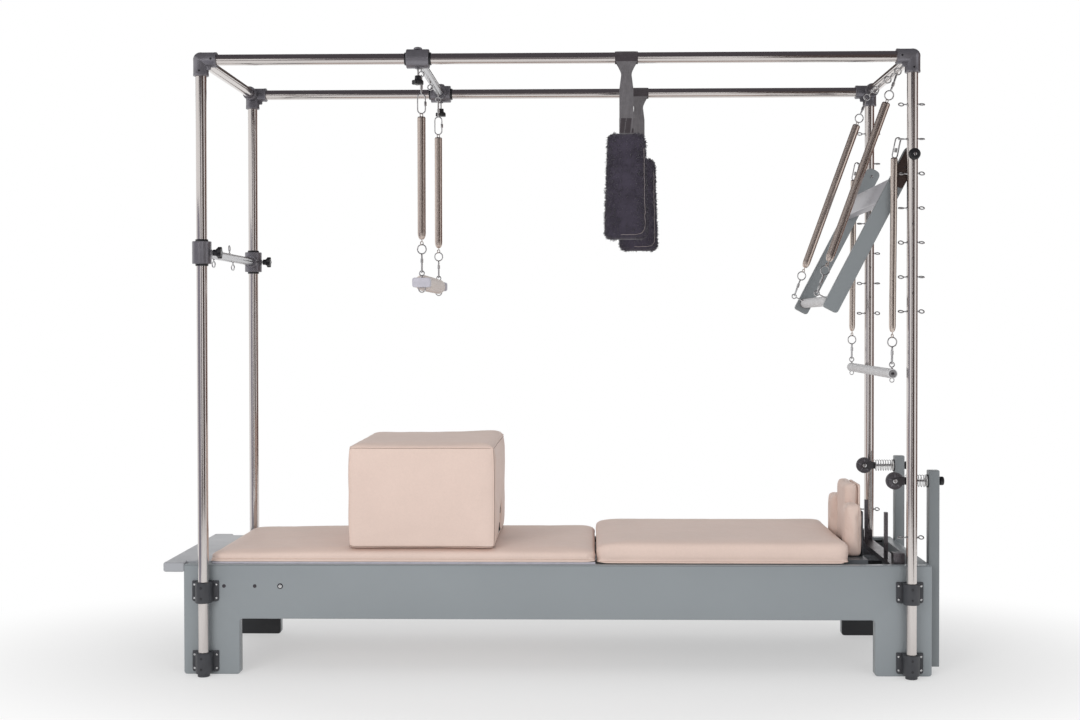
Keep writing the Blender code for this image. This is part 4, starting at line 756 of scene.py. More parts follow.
def vinyl(name, colour):
    """Matte artificial leather: pebbled grain, soft mottling and slack creases."""
    made = Finish(name, colour, 0.56, Sheen_Weight=0.08, Sheen_Roughness=0.4)
    cells = made.node("TexVoronoi", {"Vector": made.place, "Scale": 620.0}, feature="SMOOTH_F1")
    made.varied(0.03, 5.0).varied(0.02, 160.0).rough(0.12, 30.0)
    made.bumped(made.noise(14.0, 3.0), 0.0016, 0.22)
    made.bumped(cells.outputs[0], 0.00022, 0.5)
    made.bumped(made.noise(1400.0, 2.0), 0.00005, 0.4)
    return made.material


def fleecy(name, colour):
    """Short curled wool."""
    made = Finish(name, colour, 0.95, Sheen_Weight=0.35, Sheen_Roughness=0.5)
    made.varied(0.20, 28.0).varied(0.12, 160.0)
    made.bumped(made.noise(300.0, 4.0), 0.0010, 0.6)
    return made.material


def webbing(name, colour):
    """Woven strap: ribs across and a fine twill along it, from the strap's own measure."""
    made = Finish(name, colour, 0.8, Sheen_Weight=0.15)
    bars = made.node("TexWave", {"Vector": made.stretched((0.0, 330.0, 0.0), made.uv), "Scale": 1.0,
                                 "Distortion": 0.4}, bands_direction="Y")
    twill = made.node("TexWave", {"Vector": made.stretched((420.0, 210.0, 0.0), made.uv), "Scale": 1.0},
                      bands_direction="DIAGONAL")
    made.varied(0.12, 60.0)
    made.bumped(bars.outputs[1], 0.0004, 0.6)
    made.bumped(twill.outputs[1], 0.0002, 0.5)
    return made.material


PAINT = painted("grey_paint", srgb(140, 146, 150))
PUSH_PAINT = painted("push_bar_paint", srgb(126, 131, 134))
# Painted shade: near-black for the panels' inner faces, as the space under the bed lies in shade.
INNER_PAINTED_SHADE = painted("inner_painted_shade", srgb(40, 41, 44), 0.6)
STEEL = stainless("polished_tube", srgb(206, 200, 197), 0.13)
BAR_STEEL = stainless("bar_tube", srgb(186, 186, 188), 0.26)
WIRE_STEEL = plated("bright_wire", srgb(205, 205, 206), 0.2)
SPRING_WIRE = spring_steel("spring_wire", srgb(200, 186, 177), 0.22)
ROLL_WIRE = spring_steel("thin_spring_wire", srgb(206, 194, 185), 0.22)
BLACK = coated("black_coat", srgb(64, 65, 69), 0.42)
KNOB_BLACK = coated("knob_plastic", srgb(34, 34, 37), 0.38, 0.00008)
DARK_STEEL = coated("dark_steel", srgb(78, 74, 78), 0.36, 0.00005, 0.6)
HINGE_BROWN = coated("hinge_plate", srgb(78, 66, 63), 0.4, 0.00005, 0.5)
COLLAR_GREY = coated("satin_collar", srgb(122, 120, 126), 0.34, 0.00001, 0.6)
# Pale grey of the trapeze handle blocks. On the rail runner its paleness is partly painted highlight.
PALE_GREY_AND_RUNNER_HIGHLIGHT = coated("handle_block_and_runner_highlight", srgb(188, 186, 196), 0.4)
BEAM_PAINT = painted("beam_paint", srgb(178, 178, 184))
PLATFORM_PAINT = painted("platform_paint", srgb(164, 166, 171))
LIGHT_GRIP = coated("light_grip", srgb(206, 206, 208), 0.45, 0.00008)
GRIP_END = coated("grip_end", srgb(120, 118, 120), 0.4, 0.00008)
# Dark rubber, also the painted shade inside the box's hand hole.
RUBBER_AND_HOLE_SHADE = coated("dark_rubber_and_hole_shade", srgb(38, 38, 40), 0.6)
BUMPER = coated("pale_bumper", srgb(226, 226, 226), 0.5)
WHEEL_BLACK = coated("wheel_plastic", srgb(42, 42, 44), 0.42, 0.00006)
PULLEY_GREY = coated("pulley_grey", srgb(84, 81, 85), 0.34, 0.00003, 0.3)
PULLEY_DARK = coated("pulley_dark", srgb(56, 54, 57), 0.4, 0.00003)
VINYL = vinyl("beige_vinyl", srgb(222, 199, 188))
ROLL_VINYL = vinyl("roll_vinyl", srgb(218, 207, 201))
SEAM = coated("seam_thread", srgb(206, 180, 166), 0.7)
# Painted shadow: thin dark lines under the box's top welt, beside its upright corners and round its bottom
# edge.
SHADOW_SEAM = coated("seam_painted_shadow", srgb(140, 118, 106), 0.8)
FLEECE = fleecy("dark_fleece", srgb(60, 55, 67))
STRAP = webbing("strap_webbing", srgb(104, 101, 104))
DARK_STRAP = webbing("dark_webbing", srgb(66, 60, 64))
HEM = coated("leather_hem", srgb(142, 133, 134), 0.6)


def side_panel(label, side):
    foot, head = BED_FOOT, BED_HEAD
    corners = [
        (foot, 0.0), (foot + LEG_WIDTH, 0.0), (foot + LEG_WIDTH, RAIL_BOTTOM),
        (head - LEG_WIDTH, RAIL_BOTTOM), (head - LEG_WIDTH, 0.0), (head, 0.0),
        (head, RAIL_TOP), (foot, RAIL_TOP),
    ]
    radii = [LEG_CORNER] * 6 + [0.003] * 2
    outline = softened(corners, radii, 5, closed=True)
    piece = Piece(f"panel_{label}")
    skin = 0.0012
    piece.add(slab(outline, BOARD - skin, facing_y(side * BED_SIDE, -side), EDGE), PAINT)
    # Painted shade: below its top edge the panel's inner face is covered by a near-black sheet, for the
    # shade under the bed.
    lower = [(px, min(pz, RAIL_TOP - 0.010)) for px, pz in corners]
    lower = softened(lower, LEG_CORNER, 5, closed=True)
    piece.add(slab(lower, skin * 2, facing_y(side * (BED_SIDE - BOARD), side), skin), INNER_PAINTED_SHADE)
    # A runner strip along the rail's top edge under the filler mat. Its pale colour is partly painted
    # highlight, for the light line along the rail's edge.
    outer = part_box("filler_mat")[1].y - 0.002
    edges = sorted((side * outer, side * (outer - 0.014)))
    low = (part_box("filler_mat")[0].x, edges[0], RAIL_TOP - 0.002)
    high = (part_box("filler_mat")[1].x, edges[1], RUNNER_TOP)
    piece.add(block(low, high, 0.0012), PALE_GREY_AND_RUNNER_HIGHLIGHT)
    for i, (distance, radius) in enumerate(RAIL_BOLTS):
        face = Vector((foot + distance, side * BED_SIDE, RAIL_BOLT_HEIGHT))
        way = Vector((0, side, 0))
        if i == 2:
            washer = [(0, radius), (0.0008, radius), (0.0012, radius * 0.85), (0.0012, 0)]
            piece.add(lathe(washer, face, way, 24), KNOB_BLACK)
            piece.add(screw(face + way * 0.001, way, radius * 0.66, 0.0010), WIRE_STEEL)
        else:
            piece.add(screw(face - way * 0.0002, way, radius, 0.0018), DARK_STEEL)
    piece.made("frame", [f"side_panel_{label}"], "grey_wood")


def boards():
    for name, edge in (("head_board", 0.003), ("foot_board", 0.002)):
        low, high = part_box(name)
        piece = Piece(f"{name}_form")
        piece.add(block(low, high, edge), PAINT)
        piece.made("frame", [name], "grey_wood")


def standing_platform():
    low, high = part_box("standing_platform")
    narrow = BED_SIDE - BOARD - GAP
    neck = BED_FOOT - GAP
    corners = [
        (low.x, low.y), (neck, low.y), (neck, -narrow), (high.x, -narrow),
        (high.x, narrow), (neck, narrow), (neck, high.y), (low.x, high.y),
    ]
    steps = 5
    outline = softened(corners, [PLATFORM_CORNER] + [0] * 6 + [PLATFORM_CORNER], steps, closed=True)
    free, hidden = [PLATFORM_EDGE] * (steps + 2), [0.0006] * 4
    edges = free + hidden + free
    piece = Piece("platform_form")
    place = Matrix.Translation((0, 0, low.z))
    piece.add(slab(outline, high.z - low.z, place, edges, steps), PLATFORM_PAINT)
    piece.made("frame", ["standing_platform"], "grey_wood")


def bracket(piece, x, side, height):
    """A screwed plate with a saddle round the post, and two grub screws in the saddle."""
    half = BRACKET_HEIGHT / 2
    low, high = (x - BRACKET_WIDTH / 2, height - half), (x + BRACKET_WIDTH / 2, height + half)
    outline = rounded(low, high, [0.010, 0.010, 0.004, 0.004], 4)
    face = side * (BED_SIDE + GAP)
    piece.add(slab(outline, BRACKET_PLATE, facing_y(face, side), 0.0012), BLACK)
    y = side * POST_SIDE
    back = POST_SIDE - BED_SIDE - 0.002
    flat = [(x - SADDLE, -back), (x + SADDLE, -back)]
    flat += [(x + px, py) for px, py in arc(SADDLE, 0, math.pi, 20)]
    place = Matrix(((1, 0, 0, 0), (0, side, 0, y), (0, 0, 1, height - half + 0.001), (0, 0, 0, 1)))
    piece.add(slab(flat, BRACKET_HEIGHT - 0.002, place, 0.0015), BLACK)
    for dx in (-1, 1):
        for dz in (-1, 1):
            spot = (x + dx * (BRACKET_WIDTH / 2 - 0.0085), face + side * BRACKET_PLATE, height + dz * 0.024)
            piece.add(screw(spot, Y * side, *PLATE_SCREW), WIRE_STEEL)
    for dz in (-1, 1):
        spot = Vector((x - 0.002, y + side * (SADDLE - 0.0006), height + dz * 0.019))
        piece.add(screw(spot, Y * side, *SADDLE_SCREW), KNOB_BLACK)


def post_eyebolts(piece, x, side):
    y = side * POST_SIDE
    heights = [POST_EYE_TOP - i * POST_EYE_PITCH for i in range(7)] + [POST_EYE_LOW]
    for i, z in enumerate(heights):
        for way, reach in ((-1, POST_EYE_REACH), (1, POST_EYE_BACK)):
            loaded = i == 1 and way == -1
            lean = math.radians(0 if loaded else 18 + 9 * ((3 * i + way) % 4))
            through = (0, -math.sin(lean), math.cos(lean))
            seat = TUBE - 0.0005
            eyebolt(piece, (x, y, z), X * way, TUBE * 0.9, reach, through, EYE, seat, height=0.0022)


def post(end, label, side):
    x, y = POST_AT[end], side * POST_SIDE
    piece = Piece(f"post_{end}_{label}_form")
    levels = [GAP + FOOT_CAP * 0.3, 0.4, 0.9, 1.4, 1.9, TOP_AXIS - TUBE - 0.003]
    piece.add(tube([(x, y, z) for z in levels], TUBE, 48), STEEL)
    cap = [(0, 0), (0, FOOT_CAP - 0.001), (0.001, FOOT_CAP), (0.011, FOOT_CAP), (0.012, TUBE)]
    piece.add(lathe(cap, (x, y, 0), Z, 40), BLACK)
    for height in BRACKET_HEIGHTS:
        bracket(piece, x, side, height)
    if end == "head":
        post_eyebolts(piece, x, side)
        for i in range(1, PIVOT_HOLES):
            for way in (-1, 1):
                spot = (x, y + way * (TUBE - 0.0004), PIVOT_HEIGHT - i * POST_EYE_PITCH)
                rim = [(0, 0.0044), (0.0007, 0.0044), (0.0007, 0.0032), (0.0001, 0.0030), (0.0001, 0)]
                piece.add(lathe(rim, spot, (0, way, 0), 16), KNOB_BLACK)
    piece.made("frame", [f"post_{end}_{label}"], "stainless_tube")


def corner_fitting(end, label, side):
    """A three-way elbow with a lug and a screw beside its post sleeve."""
    inward = 1 if end == "foot" else -1
    centre = Vector((POST_AT[end], side * POST_SIDE, TOP_AXIS))
    piece = Piece(f"corner_{end}_{label}_form")
    ball = [(-along, radius) for along, radius in arc(SLEEVE, 0, math.pi, 20)]
    piece.add(lathe(ball, centre, Z, 40), COLLAR_GREY)
    lip = SLEEVE_LENGTH
    sleeve = [
        (0, SLEEVE - 0.0005), (lip - 0.010, SLEEVE - 0.0005), (lip - 0.009, SLEEVE),
        (lip - 0.001, SLEEVE), (lip, SLEEVE - 0.001), (lip, TUBE + 0.0005), (lip - 0.012, TUBE + 0.0005),
    ]
    for way in (X * inward, Y * -side, -Z):
        piece.add(lathe(sleeve, centre, way, 40), COLLAR_GREY)
        spot = centre + way * (lip * 0.72) + Y * side * (SLEEVE - 0.0008)
        if abs(way.y) < 0.5:
            piece.add(screw(spot, Y * side, *CORNER_SCREW), KNOB_BLACK)
    lug = centre + Vector((inward * 0.020, side * 0.004, -0.020))
    corners = [(0, 0), (0.017, 0), (0.017, 0.014), (0.014, 0.017), (0, 0.017)]
    outline = softened(corners, 0.003, 3, closed=True)
    place = Matrix(((inward, 0, 0, lug.x), (0, 0, side, lug.y), (0, -1, 0, lug.z), (0, 0, 0, 1)))
    piece.add(slab(outline, 0.009, place, 0.001), COLLAR_GREY)
    piece.made("frame", [f"corner_{end}_{label}"], "black_fitting")


def top_rails():
    for label, side in SIDES:
        y = side * POST_SIDE
        places = np.linspace(FOOT_POST + TUBE + 0.003, HEAD_POST - TUBE - 0.003, 12)
        piece = Piece(f"top_rail_{label}_form")
        piece.add(tube([(x, y, TOP_AXIS) for x in places], TUBE, 48), STEEL)
        piece.made("frame", [f"top_rail_{label}"], "stainless_tube")


def top_tubes():
    reach = POST_SIDE - TUBE - 0.003
    for end, x in POST_AT.items():
        piece = Piece(f"top_tube_{end}_form")
        piece.add(tube([(x, y, TOP_AXIS) for y in np.linspace(-reach, reach, 6)], TUBE, 48), STEEL)
        if end == "head":
            for y in (-SPRING_SPREAD, -INNER_EYE_SPREAD, INNER_EYE_SPREAD, SPRING_SPREAD):
                eyebolt(
                    piece, (x, y, TOP_AXIS), CROSS_EYE_WAY, TUBE * 0.9, CROSS_EYE_REACH, Y, CROSS_EYE,
                    TUBE * 0.98, radius=0.0048,
                )
        piece.made("frame", [f"top_tube_{end}"], "stainless_tube")


def collar(piece, hub, axis, inward, knob_way):
    """A sliding collar with bush rings, a socket for the bar and a grub screw."""
    half = COLLAR_LENGTH / 2
    body = [
        (-half, TUBE + 0.0008), (-half, COLLAR - 0.0015), (-half + 0.0015, COLLAR),
        (half - 0.0015, COLLAR), (half, COLLAR - 0.0015), (half, TUBE + 0.0008),
    ]
    piece.add(lathe(body, hub, axis, 48), COLLAR_GREY)
    for way in (-1, 1):
        start = hub + axis * way * (half - 0.001)
        bush = [
            (0, BUSH), (BUSH_LENGTH * 0.75, BUSH), (BUSH_LENGTH, BUSH - 0.001), (BUSH_LENGTH, TUBE + 0.0006),
        ]
        piece.add(lathe(bush, start, axis * way, 40), KNOB_BLACK)
    length = SOCKET_REACH - COLLAR * 0.5
    socket = [
        (0, SOCKET), (length - 0.0015, SOCKET), (length, SOCKET - 0.0015), (length, CROSSBAR + 0.0004),
        (length - 0.008, CROSSBAR + 0.0004),
    ]
    piece.add(lathe(socket, hub + inward * COLLAR * 0.5, inward, 40), COLLAR_GREY)
    away = -knob_way
    piece.add(screw(hub + away * (COLLAR - 0.0006), away, *COLLAR_SCREW), KNOB_BLACK)
    boss = [(0, 0.0095), (0.002, 0.0095), (0.0032, 0.0082), (0.0032, KNOB_SHAFT)]
    piece.add(lathe(boss, hub + knob_way * (COLLAR - 0.0012), knob_way, 24), COLLAR_GREY)


def sliding_bar(name, centre, axis, knob_way, eyes, body, domes=False):
    """A crossbar between two collars that slide along axis, with eyes under or over it."""
    centre, axis, knob_way = Vector(centre), Vector(axis), Vector(knob_way)
    piece = Piece(f"{name}_form")
    reach = POST_SIDE - SOCKET_REACH + 0.012
    bar = [centre + Y * y for y in np.linspace(-reach, reach, 6)]
    piece.add(tube(bar, CROSSBAR, 40), BAR_STEEL)
    for _, side in SIDES:
        hub = centre + Y * side * POST_SIDE
        collar(piece, hub, axis, Y * -side, knob_way)
        if domes:
            dome = [(0, 0.015), (0.0045, 0.015), (0.0075, 0.012), (0.009, 0.007), (0.0095, 0)]
            piece.add(lathe(dome, hub + Z * (COLLAR - 0.0015), Z, 32), COLLAR_GREY)
    for y, way, distance, eye, turn in eyes:
        through = X * math.sin(math.radians(turn)) + Y * math.cos(math.radians(turn))
        seat = CROSSBAR * 0.98
        eyebolt(piece, centre + Y * y, way, CROSSBAR * 0.9, distance, through, eye, seat, height=0.0022)
    piece.made(body, [name], "black_fitting")


def star_knob(name, body, skin, way, stand):
    """A five-lobed knob on a hub, with a bright shaft and a bright insert."""
    skin, way = Vector(skin), Vector(way)
    piece = Piece(f"{name}_form")
    piece.add(rod(skin - way * 0.009, skin + way * (stand + 0.002), KNOB_SHAFT, 16), WIRE_STEEL)
    start = skin + way * stand
    hub = [
        (0, 0), (0, HUB * 0.82), (0.001, HUB * 0.88), (HUB_LENGTH * 0.6, HUB * 0.92),
        (HUB_LENGTH, HUB), (HUB_LENGTH + 0.001, HUB),
    ]
    piece.add(lathe(hub, start, way, 32), KNOB_BLACK)
    lobes = []
    for i in range(100):
        turn = math.tau * i / 100
        radius = KNOB * (0.87 + 0.13 * math.cos(5 * turn))
        lobes.append((radius * math.cos(turn), radius * math.sin(turn)))
    face = start + way * HUB_LENGTH
    piece.add(slab(lobes, KNOB_DEPTH, towards(face, face + way), 0.0035, 4), KNOB_BLACK)
    insert = [(0, 0.0042), (0.0003, 0.0042), (0.0003, 0.0030), (-0.002, 0.0028), (-0.002, 0)]
    piece.add(lathe(insert, face + way * KNOB_DEPTH, way, 20), WIRE_STEEL)
    piece.made(body, [name], "black_knob")


def sliding_bars():
    centre = Vector((FOOT_POST, 0, FOOT_BAR_HEIGHT))
    eyes = [(y, (0, 0, up), FOOT_BAR_EYE_REACH, FOOT_BAR_EYE, turn) for y, up, turn in FOOT_BAR_EYES]
    sliding_bar("foot_crossbar", centre, Z, X, eyes, "foot_crossbar")
    over = Vector((TROLLEY_AT, 0, TOP_AXIS))
    hanging = [(y, (0, 0, -1), HANGING_EYE_DROP, HANGING_EYE, 0) for y in (-SPRING_SPREAD, 0, SPRING_SPREAD)]
    sliding_bar("trolley", over, X, -Z, hanging, "trolley", domes=True)
    for label, side in SIDES:
        name = f"foot_knob_{label}"
        star_knob(name, name, centre + Y * side * POST_SIDE + X * COLLAR, X, 0.006)
        name = f"trolley_knob_{label}"
        star_knob(name, name, over + Y * side * POST_SIDE - Z * COLLAR, -Z, 0.0255)


def link(piece, kind, start, end, width, sideways):
    """A snap, a carabiner or a ring between two points, as wide as said along sideways."""
    start, end = Vector(start), Vector(end)
    ahead = (end - start).normalized()
    path = stadium(start, end, width, sideways)
    piece.add(tube(path, WIRE, 12, closed=True), WIRE_STEEL)
    if kind == "snap":
        neck = start + ahead * ((end - start).length * 0.52)
        barrel = [(0, 0), (0, 0.0042), (0.001, 0.0052), (0.014, 0.0052), (0.015, 0.0042), (0.015, 0)]
        piece.add(lathe(barrel, neck, ahead, 24), WIRE_STEEL)
        across = Vector(sideways).normalized()
        gate = [neck + across * width * 0.42, start + ahead * width * 0.3 + across * width * 0.5]
        piece.add(rod(gate[0], gate[1], WIRE * 1.15, 12), WIRE_STEEL)
    if kind == "carabiner":
        across = Vector(sideways)
        across = (across - ahead * across.dot(ahead)).normalized()
        middle_point = (start + end) / 2 + across * width / 2
        nut_start = middle_point - ahead * 0.008
        nut = [(0, 0), (0, 0.0040), (0.0008, 0.0046), (0.0152, 0.0046), (0.016, 0.0040), (0.016, 0)]
        piece.add(lathe(nut, nut_start, ahead, 6), WIRE_STEEL)


def chain(piece, start, ahead, links):
    """Links that follow each other from a point, and where the last one ends."""
    for kind, length, width, sideways in links:
        link(piece, kind, start, start + ahead * length, width, sideways)
        start = start + ahead * length
    return start


def hanging_spring(piece, start, end, coil, top, bottom, finish):
    """Links at each end, and a close-wound spring whose lower end tapers to its hook."""
    start, end = Vector(start), Vector(end)
    ahead = (end - start).normalized()
    at = chain(piece, start, ahead, top) - ahead * WIRE
    below = chain(piece, end, -ahead, bottom) + ahead * WIRE
    length = (below - at).length
    mean = coil - COIL_WIRE
    first, last = at + ahead * (0.014 if top else 0.002), at + ahead * (length - 0.021)
    span = (last - first).length
    radii = [
        (0, mean * 0.80), (0.004 / span, mean), (1 - 0.022 / span, mean), (1 - 0.012 / span, mean * 0.90),
        (1 - 0.005 / span, mean * 0.70), (1, mean * 0.42),
    ]
    piece.add(thread(first, last, radii, COIL_WIRE), finish)
    side = ahead.orthogonal().normalized()
    for centre, sense, root in ((at, 1, first), (below, -1, last)):
        if sense == 1 and not top:
            continue
        eye = 0.0062
        middle_point = centre + ahead * sense * (eye + WIRE * 0.6)
        path = bow(middle_point, -ahead * sense, side, eye, math.tau * 0.54, math.tau * 0.92, 16)
        stem = root + ahead * sense * 0.001
        path = [stem, (stem + path[0]) / 2, *path]
        piece.add(tube(path, COIL_WIRE * 1.1, 10), finish)


def nested(eye_centre, eye, ahead):
    """Where a link starts that hangs in an eye and pulls ahead on it."""
    return Vector(eye_centre) + Vector(ahead) * (eye * math.cos(math.pi / 8) - 2 * WIRE - GAP)


def push_place(y):
    """Axes of the push-through bar: X down its arms, Y away from the foot end, Z across."""
    along_arm = (-math.sin(PUSH_ANGLE), 0, -math.cos(PUSH_ANGLE))
    outward = (math.cos(PUSH_ANGLE), 0, -math.sin(PUSH_ANGLE))
    columns = [along_arm, outward, (0, 1, 0), (HEAD_POST, y, PIVOT_HEIGHT)]
    rows = [[column[i] for column in columns] for i in range(3)]
    return Matrix(rows + [[0, 0, 0, 1]])


LONG_SNAP = ("snap", SNAP, LINK_WIDTH, Y)


def trapeze_springs():
    for label, side in SIDES:
        y = side * SPRING_SPREAD
        upper = (TROLLEY_AT, y, TOP_AXIS - HANGING_EYE_DROP)
        lower = (TROLLEY_AT, y, HANDLE_HEIGHT + HANDLE_EYE_RISE)
        start, end = nested(upper, HANGING_EYE, -Z), nested(lower, EYE, Z)
        top = [LONG_SNAP, ("carabiner", CARABINER, CARABINER_WIDTH, X)]
        bottom = [LONG_SNAP, ("ring", END_RING, END_RING_WIDTH, X)]
        piece = Piece(f"trapeze_spring_{label}_form")
        hanging_spring(piece, start, end, COIL, top, bottom, SPRING_WIRE)
        piece.made("trapeze", [f"trapeze_spring_{label}"], "spring_steel")


def push_springs():
    for label, side in SIDES:
        y = side * SPRING_SPREAD
        upper = Vector((HEAD_POST, y, TOP_AXIS)) + CROSS_EYE_WAY * CROSS_EYE_REACH
        lower = push_place(0) @ Vector((GRIP_AT, -GRIP_EYE_REACH, 0)) + Vector((0, y, 0))
        ahead = (lower - upper).normalized()
        start, end = nested(upper, CROSS_EYE, ahead), nested(lower, EYE, -ahead)
        flat = ahead.cross(Y)
        links = [LONG_SNAP, ("ring", END_RING, END_RING_WIDTH, flat)]
        piece = Piece(f"push_spring_{label}_form")
        hanging_spring(piece, start, end, COIL, links, links, SPRING_WIRE)
        piece.made("frame", [f"push_spring_{label}"], "spring_steel")


def roll_springs():
    hang_z = POST_EYE_TOP - POST_EYE_PITCH
    hang_x = HEAD_POST - POST_EYE_REACH - EYE
    x = HEAD_POST - ROLL_BAR_OFFSET
    for label, side in SIDES:
        y = side * POST_SIDE
        start = Vector((hang_x, y, hang_z + 2 * WIRE + GAP))
        knee = Vector((HEAD_POST - ROLL_SNAP_FOOT[0], y, ROLL_SNAP_FOOT[1]))
        eye = Vector((x, y, ROLL_BAR_HEIGHT + ROLL_BAR_EYE_RISE))
        end = nested(eye, EYE, (knee - eye).normalized())
        piece = Piece(f"roll_spring_{label}_form")
        link(piece, "snap", start, knee, ROLL_SNAP_WIDTH, X)
        bottom = [("snap", ROLL_LINK, LINK_WIDTH, Y), ("ring", END_RING, END_RING_WIDTH, X)]
        hanging_spring(piece, knee, end, ROLL_COIL, [], bottom, ROLL_WIRE)
        piece.made("roll_down_bar", [f"roll_spring_{label}"], "spring_steel")


def trapeze_handle():
    """Two blocks on a core bar, each hung from an eye and with a ring below."""
    piece = Piece("trapeze_handle_form")
    at = Vector((TROLLEY_AT, 0, HANDLE_HEIGHT))
    outer = HANDLE_BLOCK_INNER + HANDLE_BLOCK_WIDTH
    piece.add(rod(at - Y * (outer - 0.004), at + Y * (outer - 0.004), HANDLE_CORE, 24), WIRE_STEEL)
    depth, height = HANDLE_BLOCK_DEPTH / 2, HANDLE_BLOCK_HEIGHT / 2
    outline = rounded((at.x - depth, at.z - height), (at.x + depth, at.z + height), 0.010, 5)
    for _, side in SIDES:
        place = facing_y(side * HANDLE_BLOCK_INNER, side)
        piece.add(slab(outline, HANDLE_BLOCK_WIDTH, place, 0.004, 4), PALE_GREY_AND_RUNNER_HIGHLIGHT)
        hung = at + Y * side * SPRING_SPREAD
        eyebolt(piece, hung, Z, height - 0.003, HANDLE_EYE_RISE, Y, EYE, height)
        piece.add(ring(hung - Z * (height + HANDLE_RING * 0.45), HANDLE_RING, Y), WIRE_STEEL)
    piece.made("trapeze", ["trapeze_handle"], "black_fitting")


def push_bar():
    piece = Piece("push_bar_form")
    cover = [(0, 0.0064), (0.0012, 0.0060), (0.0020, 0.0040), (0.0022, 0)]
    half = PUSH_ARM_WIDTH / 2
    radii = [PUSH_ARM_TOP_CORNER, PUSH_ARM_CORNER, PUSH_ARM_CORNER, PUSH_ARM_TOP_CORNER]
    arm = rounded((-PUSH_ARM_HEAD, -half), (PUSH_ARM, half), radii, 6)
    plate = rounded((-0.022, -0.0265), (0.118, 0.0265), 0.010, 4)
    for _, side in SIDES:
        near, far = sorted((side * (PUSH_OUTER - PUSH_ARM_THICKNESS), side * PUSH_OUTER))
        piece.add(slab(arm, far - near, push_place(near), 0.0035, 4), PUSH_PAINT)
        start = min(side * PUSH_OUTER, side * (PUSH_OUTER + 0.0016))
        piece.add(slab(plate, 0.0016, push_place(start), 0.0006), HINGE_BROWN)
        for along in (0.027, 0.045):
            spot = push_place(0) @ Vector((along, 0, 0))
            spot.y = side * (PUSH_OUTER + 0.0014)
            piece.add(screw(spot, Y * side, *PUSH_PLATE_SCREW), DARK_STEEL)
        pivot = Vector((HEAD_POST, 0, PIVOT_HEIGHT))
        start = pivot + Y * side * (PUSH_OUTER - PUSH_ARM_THICKNESS - 0.004)
        end = pivot + Y * side * (POST_SIDE + TUBE + 0.001)
        piece.add(rod(start, end, 0.0045, 20), WIRE_STEEL)
        knob = [
            (0, 0.011), (0.004, 0.011), (0.005, 0.0185), (0.0075, PIVOT_KNOB), (0.019, PIVOT_KNOB),
            (0.022, 0.018), (PIVOT_KNOB_DEPTH, 0.014), (PIVOT_KNOB_DEPTH, 0.0068),
            (PIVOT_KNOB_DEPTH - 0.0015, 0.0064), (PIVOT_KNOB_DEPTH - 0.0015, 0),
        ]
        piece.add(lathe(knob, end, (0, side, 0), 48), KNOB_BLACK)
        cap = end + Y * side * (PIVOT_KNOB_DEPTH - 0.002)
        piece.add(lathe(cover, cap, (0, side, 0), 24), WIRE_STEEL)
    reach = PUSH_OUTER - PUSH_ARM_THICKNESS + 0.002
    low, high = (PUSH_BEAM_AT, -half), (PUSH_BEAM_AT + PUSH_BEAM_WIDTH, -half + PUSH_BEAM_THICKNESS)
    outline = rounded(low, high, 0.004, 3)
    piece.add(slab(outline, reach * 2, push_place(-reach), 0.0008), BEAM_PAINT)
    piece.made("push_bar", ["push_bar_frame"], "push_bar_wood")


def push_grip():
    piece = Piece("push_grip_form")
    at = push_place(0) @ Vector((GRIP_AT, 0, 0))
    reach = PUSH_OUTER - PUSH_ARM_THICKNESS - 0.0006
    profile = [(0, GRIP - 0.001), (0.001, GRIP)]
    profile += [(reach * 2 - 0.001, GRIP), (reach * 2, GRIP - 0.001)]
    piece.add(lathe(profile, at - Y * reach, Y, 48), LIGHT_GRIP)
    way = push_place(0).to_3x3() @ Vector((0, -1, 0))
    for _, side in SIDES:
        collar_at = at + Y * side * (reach - 0.0085)
        band = [(0, GRIP + 0.0002), (0, GRIP + 0.0016), (0.008, GRIP + 0.0016), (0.008, GRIP + 0.0002)]
        piece.add(lathe(band, collar_at, (0, side, 0), 40), GRIP_END)
        eyebolt(piece, at + Y * side * SPRING_SPREAD, way, GRIP * 0.9, GRIP_EYE_REACH, Y, EYE, GRIP * 0.98)
    piece.made("push_bar", ["push_bar_grip"], "light_grip")


def roll_bar():
    piece = Piece("roll_bar_form")
    at = Vector((HEAD_POST - ROLL_BAR_OFFSET, 0, ROLL_BAR_HEIGHT))
    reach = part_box("roll_bar")[1].y
    profile = [(0, ROLL_BAR - 0.003), (0.001, ROLL_BAR - 0.001), (0.003, ROLL_BAR)]
    profile += [(reach * 2 - gap, radius) for gap, radius in profile[::-1]]
    piece.add(lathe(profile, at - Y * reach, Y, 48), LIGHT_GRIP)
    disc = [
        (0, ROLL_BAR - 0.003), (0.0006, ROLL_BAR - 0.0034), (0.0008, 0.006), (-0.001, 0.0055), (-0.001, 0),
    ]
    for _, side in SIDES:
        end = at + Y * side * (reach - 0.0002)
        piece.add(lathe(disc, end, (0, side, 0), 40), GRIP_END)
        piece.add(screw(end + Y * side * -0.0008, Y * side, *GRIP_END_SCREW), DARK_STEEL)
        hung = at + Y * side * POST_SIDE
        eyebolt(piece, hung, Z, ROLL_BAR * 0.9, ROLL_BAR_EYE_RISE, Y, EYE, ROLL_BAR - 0.0004)
        piece.add(ring(hung - Z * (ROLL_BAR + 0.006), 0.0075, Y, 0.0016), WIRE_STEEL)
    piece.made("roll_down_bar", ["roll_bar"], "light_grip")


